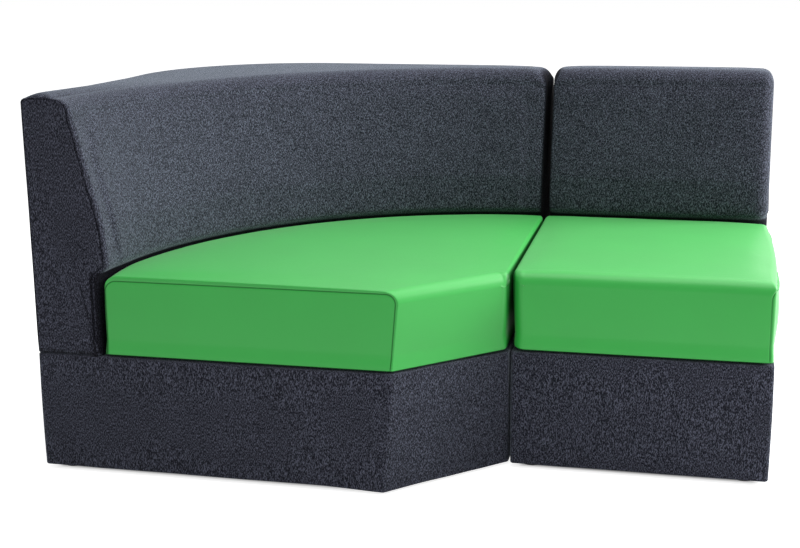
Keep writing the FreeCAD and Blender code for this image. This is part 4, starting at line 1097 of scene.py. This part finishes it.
def seat_contact_shade(points, inner, rear, settings):
    """How much shade is painted on a seat at its foot and where it meets the next seat and the back."""
    below = (settings.top - points[:, 2]) / JOINT_SHADE
    joint = np.minimum(below, 1.6 - inner / JOINT_SHADE)
    behind = 1.7 - rear / REAR_SHADE
    foot = 2 - (points[:, 2] - SEAT_LOW.z - settings.slot) / FOOT_SHADE
    return np.maximum(np.maximum(joint, behind), foot)


def on_skin(piece, path):
    """A path moved onto the nearest places of a piece's skin."""
    bpy.context.view_layer.update()
    return [piece.closest_point_on_mesh(point)[1] for point in path]


def end_seam(piece, border, place, settings):
    """Sew a cushion's end panel: up, over the top and down again; place turns its outline into points."""
    bpy.context.view_layer.update()
    path = on_skin(piece, [place(*point) for point in border])
    press_seam(piece, path, settings.seam_width, settings.seam_depth)


def end_border(width, edge, settings):
    """The seam of an end panel from its front foot to its rear foot, as distance in and level."""
    foot = SEAT_LOW.z + settings.foot_edge
    inset = settings.seam_set
    top = settings.top - inset - 0.5 * edge
    near = settings.soft_edge - inset
    far = settings.panel_rear - inset
    turn = np.linspace(0, math.pi / 2, 14)
    rows = [(0, level) for level in np.linspace(foot, top - near, 24)[:-1]]
    rows += [(near * (1 - math.cos(part)), top - near * (1 - math.sin(part))) for part in turn]
    rows += [(where, top) for where in np.linspace(near, width - 2 * inset - far, 60)[1:-1]]
    rows += [(width - 2 * inset - far * (1 - math.cos(part)), top - far * (1 - math.sin(part)))
             for part in turn[::-1]]
    rows += [(width - 2 * inset, level) for level in np.linspace(top - far, foot, 24)[1:]]
    return [(inset + where, level) for where, level in rows]


def corner_sides(flat, settings, lean):
    """How far plan points lie in from the corner seat's front, inner end, rear and outer end."""
    across, along = flat[:, 0], flat[:, 1]
    clear = settings.clear
    front = (along - across - SETBACK) / ROOT_TWO - lean - clear
    return front, settings.join - across, SEAT_RADIUS - clear - np.hypot(across, along), along - clear


def straight_sides(flat, settings, depth):
    """How far plan points lie in from the straight seat's front, inner end, rear and outer end."""
    across, along = flat[:, 0], flat[:, 1]
    clear = settings.clear
    bulge = settings.belly * np.sin(math.pi * np.clip(along / depth, 0, 1))
    outer = WIDTH - settings.narrow + bulge
    return along - clear, across + settings.join, depth - clear - along, outer - across


def bulging(amount):
    """How far the straight seat's outer end stands out at each sample of its outline."""
    values = np.zeros(sum(STRAIGHT_TURNS) + sum(STRAIGHT_STEPS))
    start = sum(STRAIGHT_TURNS[:2]) + STRAIGHT_STEPS[0]
    steps = STRAIGHT_STEPS[1]
    values[start:start + steps] = amount * np.sin(np.linspace(0, math.pi, steps))
    return values


class BANQUETTE_OT_corner_seat(Operator):
    """Make the corner unit's seat cushion"""

    bl_idname = "banquette.corner_seat"
    bl_label = "Corner seat"

    def execute(self, context):
        settings = context.scene.banquette_seat
        base = context.scene.banquette_base
        radii = (settings.seam_corner, settings.corner, settings.rear_corner, settings.seam_corner)
        plan = Plan(lambda inset, lean: corner_seat_outline(inset, lean, radii))
        low, clear = settings.foot_edge, settings.clear
        top_lean = base_lean(settings.top, base)
        shape = {
            "lean": lambda level: base_lean(level, base),
            "sides": lambda flat: corner_sides(flat, settings, top_lean),
            "foot_edge": along_sides((low, settings.inner_foot, low, low), SEAT_TURNS, SEAT_STEPS),
            "clear": along_sides((clear, -settings.join, clear, clear), SEAT_TURNS, SEAT_STEPS),
            "puff": along_sides((settings.puff, 0, settings.puff, settings.puff), SEAT_TURNS, SEAT_STEPS),
            "outer_edge": settings.seam_edge,
            "cosine": 1 / ROOT_TWO,
        }
        piece = cushion("corner_seat_upholstery", plan, shape, settings)
        swell(piece, settings, SEAT_LOW.z)
        points = coordinates(piece.data)
        points[:, 0] = np.minimum(points[:, 0], settings.touch)
        put(piece.data, points)
        front = SETBACK + settings.clear + top_lean * ROOT_TWO
        border = end_border(SEAT_RADIUS - settings.clear - front, settings.seam_edge, settings)

        def place(where, level):
            fall = (base_lean(level, base) - top_lean) * ROOT_TWO * max(0, 1 - where / LEAN_REACH)
            return -front - where - fall, settings.clear, level

        end_seam(piece, border, place, settings)
        points = coordinates(piece.data)
        _, inner, rear, _ = corner_sides(points, settings, top_lean)
        # Painted shade at the cushion's foot, against the next cushion and along the back.
        paint_contact_shade(piece, seat_contact_shade(points, inner - settings.join, rear, settings))
        settle(piece, CENTRE, "seat_vinyl", "corner_seat_cover", "corner_seat_foam", "corner_seat_board")
        return {"FINISHED"}


class BANQUETTE_OT_straight_seat(Operator):
    """Make the straight unit's seat cushion"""

    bl_idname = "banquette.straight_seat"
    bl_label = "Straight seat"

    def execute(self, context):
        settings = context.scene.banquette_seat
        radii = (settings.corner, settings.outer_corner, settings.rear_corner, settings.rear_corner)
        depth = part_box("straight_seat_cover")[1].y - STRAIGHT_LOW.y
        plan = Plan(lambda inset, lean: straight_outline(inset, radii, depth))
        low, clear = settings.foot_edge, settings.clear
        insets = (clear, settings.narrow, clear, -settings.join)
        shape = {
            "lean": lambda level: 0.0,
            "sides": lambda flat: straight_sides(flat, settings, depth),
            "foot_edge": along_sides((low, low, low, settings.inner_foot), STRAIGHT_TURNS, STRAIGHT_STEPS),
            "clear": along_sides(insets, STRAIGHT_TURNS, STRAIGHT_STEPS) - bulging(settings.belly),
            "puff": settings.puff + bulging(settings.low_belly),
            "outer_edge": settings.outer_edge,
            "cosine": 0.0,
        }
        piece = cushion("straight_seat_upholstery", plan, shape, settings)
        swell(piece, settings, SEAT_LOW.z)
        points = coordinates(piece.data)
        points[:, 0] = np.maximum(points[:, 0], -settings.touch)
        put(piece.data, points)
        border = end_border(depth - 2 * clear, settings.outer_edge, settings)
        outer = WIDTH - settings.narrow
        inset = settings.outer_corner

        def place(where, level):
            return outer - inset * max(0, 1 - where / (2 * inset)), clear + where, level

        end_seam(piece, border, place, settings)
        points = coordinates(piece.data)
        _, inner, rear, _ = straight_sides(points, settings, depth)
        # Painted shade at the cushion's foot, against the next cushion and along the back.
        paint_contact_shade(piece, seat_contact_shade(points, inner - settings.join, rear, settings))
        hidden = ("straight_seat_cover", "straight_seat_foam", "straight_seat_board")
        settle(piece, STRAIGHT_ORIGIN, "seat_vinyl", *hidden)
        return {"FINISHED"}


# Backs

BACK_LEVELS = (0.272, 0.300, 0.450, 0.457, 0.464, 0.474, 0.500, 0.557, 0.604, 0.659, 0.719, 0.765, 0.795)
BACK_WIDTHS = (0.152, 0.150, 0.150, 0.160, 0.173, 0.177, 0.177, 0.172, 0.161, 0.147, 0.133, 0.123, 0.114)
FOOT_ROUND = 5 * MM
CAP_SHARES = (0.96, 0.9, 0.8, 0.66, 0.5, 0.33, 0.16, 0.05)
END_REACH = 0.5
ROUND_REACH = 0.45
PART_REACH = 0.1
SEAT_SHADE = 5 * MM
GAP_SHADE = 20 * MM


def back_profile(settings, drawn=0.0, shares=(1, 1, 1), near=None, rise=0.0, sink=0.0):
    """A back's section as thickness, level and share of the way to the rear.

    It is drawn in by an amount, of which the shares are used in front, on top and at the rear; near is
    the rounding of the rear edge.
    """
    foot = BACK_LOW.z
    top = BACK_TOP - settings.sink - sink
    near = near or settings.rear_round
    round_foot = FOOT_ROUND
    turn = np.linspace(0, math.pi / 2, 12)
    shoulder = top - settings.front_round
    up = np.linspace(foot + round_foot, shoulder, 150)
    thick = np.interp(up, BACK_LEVELS, BACK_WIDTHS)
    soft = np.concatenate((thick[:1].repeat(2), thick, 2 * thick[-1] - thick[-2:-4:-1]))
    thick = np.convolve(soft, np.ones(5) / 5, "valid")
    drop = thick[-1] - settings.cap
    rows = []
    for part in turn[:-1]:
        thickness = BACK_WIDTHS[0] - round_foot * (1 - math.sin(part))
        rows.append((thickness, foot + round_foot * (1 - math.cos(part)), 0, shares[0]))
    rows += [(width, level, 0, shares[0]) for width, level in zip(thick, up)]
    for part in turn[1:]:
        share = shares[0] + (shares[1] - shares[0]) * math.sin(part)
        level = shoulder + settings.front_round * math.sin(part)
        rows.append((settings.cap + drop * math.cos(part), level, 0, share))
    for share in np.linspace(0, 1, 30)[1:]:
        bow = (settings.crown + rise) * math.sin(math.pi * share) ** 0.8
        rows.append((settings.cap + (near - settings.cap) * share, top + bow, share, shares[1]))
    for part in turn[1:]:
        share = shares[2] + (shares[1] - shares[2]) * math.cos(part)
        rows.append((near * (1 - math.sin(part)), top - near * (1 - math.cos(part)), 1, share))
    rows += [(0, level, 1, shares[2]) for level in np.linspace(top - near, foot + round_foot, 60)[1:]]
    rows += [(round_foot * (1 - math.cos(part)), foot + round_foot * (1 - math.sin(part)), 1, shares[2])
             for part in turn[1:]]
    under = BACK_WIDTHS[0] - 2 * round_foot
    for share in np.linspace(0, 1, 24)[1:-1]:
        rows.append((round_foot + under * share, foot, 1 - share, shares[2]))
    rows = np.array(rows)
    way = np.gradient(rows[:, :2], axis=0)
    way /= np.linalg.norm(way, axis=1)[:, None]
    rows[:, 0] -= way[:, 1] * drawn * rows[:, 3]
    rows[:, 1] += way[:, 0] * drawn * rows[:, 3]
    rows[:, 1] = np.maximum(rows[:, 1], foot)
    return rows[:, :3]


def corner_reach(sine, cosine, large):
    """From the centre of the curve out to the rear of the corner unit."""
    middle = SPAN - large
    if SPAN * min(sine, cosine) < middle * max(sine, cosine):
        return SPAN / max(sine, cosine)
    across = middle * (sine + cosine)
    return across + math.sqrt(across ** 2 - 2 * middle ** 2 + large ** 2)


def corner_station(large):
    """Places a section on a ray about the centre of the curve."""

    def place(turn, section):
        sine, cosine = math.sin(turn), math.cos(turn)
        reach = corner_reach(abs(sine), cosine, large)
        radius = SPAN - section[:, 0] + section[:, 2] * (reach - SPAN)
        return np.column_stack((-radius * sine, radius * cosine, section[:, 1]))

    return place


def straight_station(where, section):
    """Places a section at a distance along the straight unit."""
    return np.column_stack((np.full(len(section), where), DEPTH - section[:, 0], section[:, 1]))


def back_stations(start, end, first, last, steps):
    """Places along a back and how far the section is drawn in there, for two rounded ends."""
    turns = np.linspace(0, math.pi / 2, 16)
    low = [(start + first * (1 - math.cos(part)), first * (1 - math.sin(part))) for part in turns]
    high = [(end - last * (1 - math.cos(part)), last * (1 - math.sin(part))) for part in turns[::-1]]
    middle = [(where, 0.0) for where in np.linspace(start + first, end - last, steps)[1:-1]]
    return low + middle + high


def fallen(far, settings):
    """How far the top has fallen at a distance from a soft end."""
    return settings.droop * math.exp(-max(far, 0) / settings.droop_reach)


def parted(ring, section, amount):
    """A section of the inner end, moved back from the joint by an amount that fades towards its rear."""
    ring[:, 0] += amount * (1 - section[:, 2])
    return ring


def sweep_back(name, rings, puff):
    """A closed back through its sections; its last end stands out by puff."""
    for end in (0, -1):
        border = rings[end]
        way = (border - rings[3 if end == 0 else -4]).mean(0)
        way *= (0 if end == 0 else puff) / np.linalg.norm(way)
        middle = border.mean(0)
        caps = [middle + (border - middle) * share + way * (1 - share ** 2) for share in CAP_SHARES]
        rings = caps[::-1] + rings if end == 0 else rings + caps
    return closed_skin(name, rings)


def back_contact_shade(points, facing, sideways, away):
    """How much shade is painted on a back along the seat and inside the joint.

    facing and sideways say how its skin faces the seat and the joint, and away how far the joint is.
    """
    seat = np.minimum(1 - (points[:, 2] - BACK_LEVELS[3]) / SEAT_SHADE, 4 * facing)
    joint = np.minimum((sideways - 0.45) / 0.35, 2 - away / GAP_SHADE)
    return np.maximum(seat, joint)


class BANQUETTE_OT_corner_back(Operator):
    """Make the curved back of the corner unit"""

    bl_idname = "banquette.corner_back"
    bl_label = "Corner back"

    def execute(self, context):
        settings = context.scene.banquette_back
        large = context.scene.banquette_base.big_round
        place = corner_station(large)
        middle = SPAN - settings.head / 2
        quarter = math.pi / 2
        soft = (settings.soft_front, 1, settings.soft_rear)
        seamed = (1, settings.seamed_top, settings.seamed_top)
        rings = []
        end = quarter * middle
        for where, drawn in back_stations(-settings.join, end, settings.soft_end, settings.seamed_end, 150):
            far = end - where
            fade = max(0, 1 - far / END_REACH)
            rise = settings.end_crown * (1 - math.exp(-far / settings.crown_start)) * fade
            blend = min(1, far / ROUND_REACH) ** 2
            near = settings.seamed_rear_round + (settings.rear_round - settings.seamed_rear_round) * blend
            sink = settings.corner_sink * min(1, far / END_REACH) + fallen(where, settings)
            sink -= settings.end_lift * fade
            section = back_profile(settings, drawn, soft if far > END_REACH else seamed, near, rise, sink)
            near_joint = max(0, 1 - (where + settings.join) / PART_REACH)
            rings.append(parted(place(where / middle, section), section, -settings.part * near_joint))
        piece = sweep_back("corner_back_upholstery", rings, settings.puff)
        swell(piece, settings, BACK_LOW.z)
        edge = settings.seamed_end
        near = settings.seamed_rear_round
        section = back_profile(settings, 0.7 * edge, seamed, near, sink=-settings.end_lift)
        ring = place(quarter - 0.05 * edge / middle, section)
        press_seam(piece, on_skin(piece, ring), settings.seam_width, settings.seam_depth)
        points, normals = coordinates(piece.data), directions(piece.data)
        inward = -points[:, :2] / np.linalg.norm(points[:, :2], axis=1)[:, None]
        facing = (normals[:, :2] * inward).sum(1)
        # Painted shade along the seat and inside the joint.
        paint_contact_shade(piece, back_contact_shade(points, facing, normals[:, 0], -points[:, 0]))
        settle(piece, CENTRE, "upholstery_fabric", "corner_back_cover", "corner_back_foam")
        return {"FINISHED"}


class BANQUETTE_OT_straight_back(Operator):
    """Make the back of the straight unit"""

    bl_idname = "banquette.straight_back"
    bl_label = "Straight back"

    def execute(self, context):
        settings = context.scene.banquette_back
        soft = (settings.soft_front, 1, settings.soft_rear)
        rings = []
        for where, drawn in back_stations(-settings.join, WIDTH, settings.soft_end, settings.outer_end, 80):
            sink = fallen(where, settings) + 0.6 * fallen(WIDTH - where, settings)
            section = back_profile(settings, drawn, soft if where < WIDTH / 2 else (1, 1, 1), sink=sink)
            near_joint = max(0, 1 - (where + settings.join) / PART_REACH)
            rings.append(parted(straight_station(where, section), section, settings.part * near_joint))
        piece = sweep_back("straight_back_upholstery", rings, settings.puff)
        swell(piece, settings, BACK_LOW.z)
        points, normals = coordinates(piece.data), directions(piece.data)
        # Painted shade along the seat and inside the joint.
        paint_contact_shade(piece, back_contact_shade(points, -normals[:, 1], -normals[:, 0], points[:, 0]))
        settle(piece, STRAIGHT_ORIGIN, "upholstery_fabric", "straight_back_cover", "straight_back_foam")
        return {"FINISHED"}


# Stage

FLOOR_LINES = (1.3, 2, 4, 8, 20)
FLOOR_FINE = 1.0
FLOOR_GRID = 8 * MM


def seen_directly(tree):
    """One for rays from the camera and from glossy or clear surfaces, zero for the rest."""
    path = tree.nodes.new("ShaderNodeLightPath")
    seen = path.outputs["Is Camera Ray"]
    for ray in ("Is Glossy Ray", "Is Transmission Ray"):
        either = tree.nodes.new("ShaderNodeMath")
        either.operation = "MAXIMUM"
        tree.links.new(seen, either.inputs[0])
        tree.links.new(path.outputs[ray], either.inputs[1])
        seen = either.outputs["Value"]
    return seen


def stage_material(name, shade, glow):
    """Pale paper that looks white to the camera and keeps the shadow."""
    material = bpy.data.materials.new(name)
    material.use_nodes = True
    tree = material.node_tree
    tree.nodes.clear()
    paper = tree.nodes.new("ShaderNodeBsdfDiffuse")
    paper.inputs["Color"].default_value = (*shade, 1)
    lamp = tree.nodes.new("ShaderNodeEmission")
    clear = tree.nodes.new("ShaderNodeAttribute")
    clear.attribute_name = "clear"
    level = seen_directly(tree)
    for factor in (clear.outputs["Fac"], glow):
        product = tree.nodes.new("ShaderNodeMath")
        product.operation = "MULTIPLY"
        tree.links.new(level, product.inputs[0])
        if isinstance(factor, float):
            product.inputs[1].default_value = factor
        else:
            tree.links.new(factor, product.inputs[1])
        level = product.outputs["Value"]
    tree.links.new(level, lamp.inputs["Strength"])
    both = tree.nodes.new("ShaderNodeAddShader")
    tree.links.new(paper.outputs["BSDF"], both.inputs[0])
    tree.links.new(lamp.outputs["Emission"], both.inputs[1])
    end = tree.nodes.new("ShaderNodeOutputMaterial")
    tree.links.new(both.outputs["Shader"], end.inputs["Surface"])
    return material


def outside(points, outline):
    """How far plan points lie outside a convex outline, below zero inside it."""
    after = np.roll(outline, -1, axis=0)
    way = after - outline
    long = np.linalg.norm(way, axis=1)
    keep = long > 1e-6
    way = way[keep] / long[keep][:, None]
    start = outline[keep]
    far = np.full(len(points), -np.inf)
    for base, run in zip(start, way):
        far = np.maximum(far, (points[:, 0] - base[0]) * run[1] - (points[:, 1] - base[1]) * run[0])
    return far


def paper_floor(settings, base):
    """A floor that keeps its own shade only under the bench and close to it."""
    fine = np.arange(-FLOOR_FINE, FLOOR_FINE, FLOOR_GRID)
    grid = np.concatenate((-np.array(FLOOR_LINES[::-1]), fine, FLOOR_LINES))
    count = len(grid)
    across, along = np.meshgrid(grid, grid)
    plan = np.column_stack((across.ravel(), along.ravel()))
    row = np.arange(count - 1)
    low = (row[:, None] * count + row).ravel()
    faces = np.column_stack((low, low + 1, low + 1 + count, low + count)).tolist()
    floor = new_piece("floor", lift(plan, 0.0), faces)
    plan = coordinates(floor.data)[:, :2]
    corner = corner_base_outline(0, base.lean, [getattr(base, part) for part in CORNER_RADII])
    straight = straight_outline(0, [base.corner] * 4, DEPTH)
    gap = np.minimum(
        outside(plan, corner + np.array(CENTRE[:2])), outside(plan, straight + np.array(STRAIGHT_ORIGIN[:2]))
    )
    # Painted shade: the camera's glow is withdrawn in a band that follows the bench's outline, so the
    # shadow's outline is painted while its depth comes from the lamps.
    share = np.clip(0.5 + (gap + settings.shadow_set) / settings.shadow, 0, 1)
    clear = floor.data.attributes.new("clear", "FLOAT", "POINT")
    clear.data.foreach_set("value", eased(share).astype(np.float32))
    floor.data.materials.append(stage_material("paper", settings.paper, settings.glow))


def light_world(strength):
    """Even light all round; white where the camera, glossy or clear surfaces see it."""
    world = bpy.data.worlds.new("studio")
    bpy.context.scene.world = world
    world.use_nodes = True
    tree = world.node_tree
    level = tree.nodes.new("ShaderNodeMapRange")
    level.inputs["To Min"].default_value = strength
    level.inputs["To Max"].default_value = 1
    tree.links.new(seen_directly(tree), level.inputs["Value"])
    background = tree.nodes["Background"]
    background.inputs["Color"].default_value = (1, 1, 1, 1)
    tree.links.new(level.outputs["Result"], background.inputs["Strength"])


def lamp(name, place, aim, size, power):
    """A soft square lamp aimed at a point."""
    light = bpy.data.lights.new(name, "AREA")
    light.size = size
    light.energy = power
    holder = bpy.data.objects.new(name, light)
    holder.location = place
    holder.rotation_euler = (Vector(aim) - Vector(place)).to_track_quat("-Z", "Y").to_euler()
    bpy.context.scene.collection.objects.link(holder)


def camera_matrix(settings):
    """Where the camera stands and how it is turned."""
    sine, cosine = math.sin(settings.yaw), math.cos(settings.yaw)
    level = math.cos(settings.pitch)
    ahead = Vector((-sine * level, cosine * level, -math.sin(settings.pitch)))
    right = Vector((cosine, sine, 0))
    up = right.cross(ahead)
    across = right * math.cos(settings.roll) + up * math.sin(settings.roll)
    over = up * math.cos(settings.roll) - right * math.sin(settings.roll)
    turn = Matrix((across, over, -ahead)).transposed()
    return Matrix.Translation(settings.eye) @ turn.to_4x4()


class BANQUETTE_OT_stage(Operator):
    """Set up the camera, the floor and the lamps"""

    bl_idname = "banquette.stage"
    bl_label = "Stage"

    def execute(self, context):
        scene = context.scene
        settings = scene.banquette_stage
        data = bpy.data.cameras.new("camera")
        data.lens = settings.focal
        data.clip_end = 100
        camera = bpy.data.objects.new("camera", data)
        camera.matrix_world = camera_matrix(settings)
        scene.collection.objects.link(camera)
        scene.camera = camera
        paper_floor(settings, scene.banquette_base)
        light_world(settings.sky)
        lamp("key_lamp", settings.key_place, settings.aim, settings.key_size, settings.key)
        lamp("top_lamp", settings.top_place, settings.aim, settings.top_size, settings.top)
        lamp("front_lamp", settings.front_place, settings.aim, settings.front_size, settings.front)
        scene.view_settings.view_transform = "Standard"
        return {"FINISHED"}


class BANQUETTE_OT_finishes(Operator):
    """Give every part of the frame its finish"""

    bl_idname = "banquette.finishes"
    bl_label = "Finishes"

    def execute(self, context):
        for part in frame["record"]["subparts"]:
            mesh = frame["nodes"][part["node"]].data
            mesh.materials.clear()
            mesh.materials.append(finish(part["material_slot"]))
        return {"FINISHED"}


OPERATORS = (
    BANQUETTE_OT_bases,
    BANQUETTE_OT_corner_seat,
    BANQUETTE_OT_straight_seat,
    BANQUETTE_OT_corner_back,
    BANQUETTE_OT_straight_back,
    BANQUETTE_OT_finishes,
    BANQUETTE_OT_stage,
)

GROUPS = {
    "banquette_fabric": FabricSettings,
    "banquette_vinyl": VinylSettings,
    "banquette_seat": SeatSettings,
    "banquette_back": BackSettings,
    "banquette_base": BaseSettings,
    "banquette_stage": StageSettings,
}


class BANQUETTE_PT_panel(Panel):
    """Sizes, colours and steps of the banquette"""

    bl_label = "Banquette"
    bl_space_type = "VIEW_3D"
    bl_region_type = "UI"
    bl_category = "Banquette"

    def draw(self, context):
        for name, group in GROUPS.items():
            box = self.layout.box()
            box.label(text=group.__doc__)
            for key in group.__annotations__:
                box.prop(getattr(context.scene, name), key)
        for step in OPERATORS:
            self.layout.operator(step.bl_idname)


def register():
    """Add the settings, the steps and the panel."""
    for name, group in GROUPS.items():
        bpy.utils.register_class(group)
        setattr(bpy.types.Scene, name, PointerProperty(type=group))
    for step in (*OPERATORS, BANQUETTE_PT_panel):
        bpy.utils.register_class(step)


def unregister():
    """Take them away again."""
    for step in (BANQUETTE_PT_panel, *reversed(OPERATORS)):
        bpy.utils.unregister_class(step)
    for name, group in reversed(GROUPS.items()):
        delattr(bpy.types.Scene, name)
        bpy.utils.unregister_class(group)


def main():
    """Build the banquette."""
    register()
    for step in OPERATORS:
        getattr(bpy.ops.banquette, step.bl_idname.split(".")[1])()


if __name__ == "__main__":
    main()
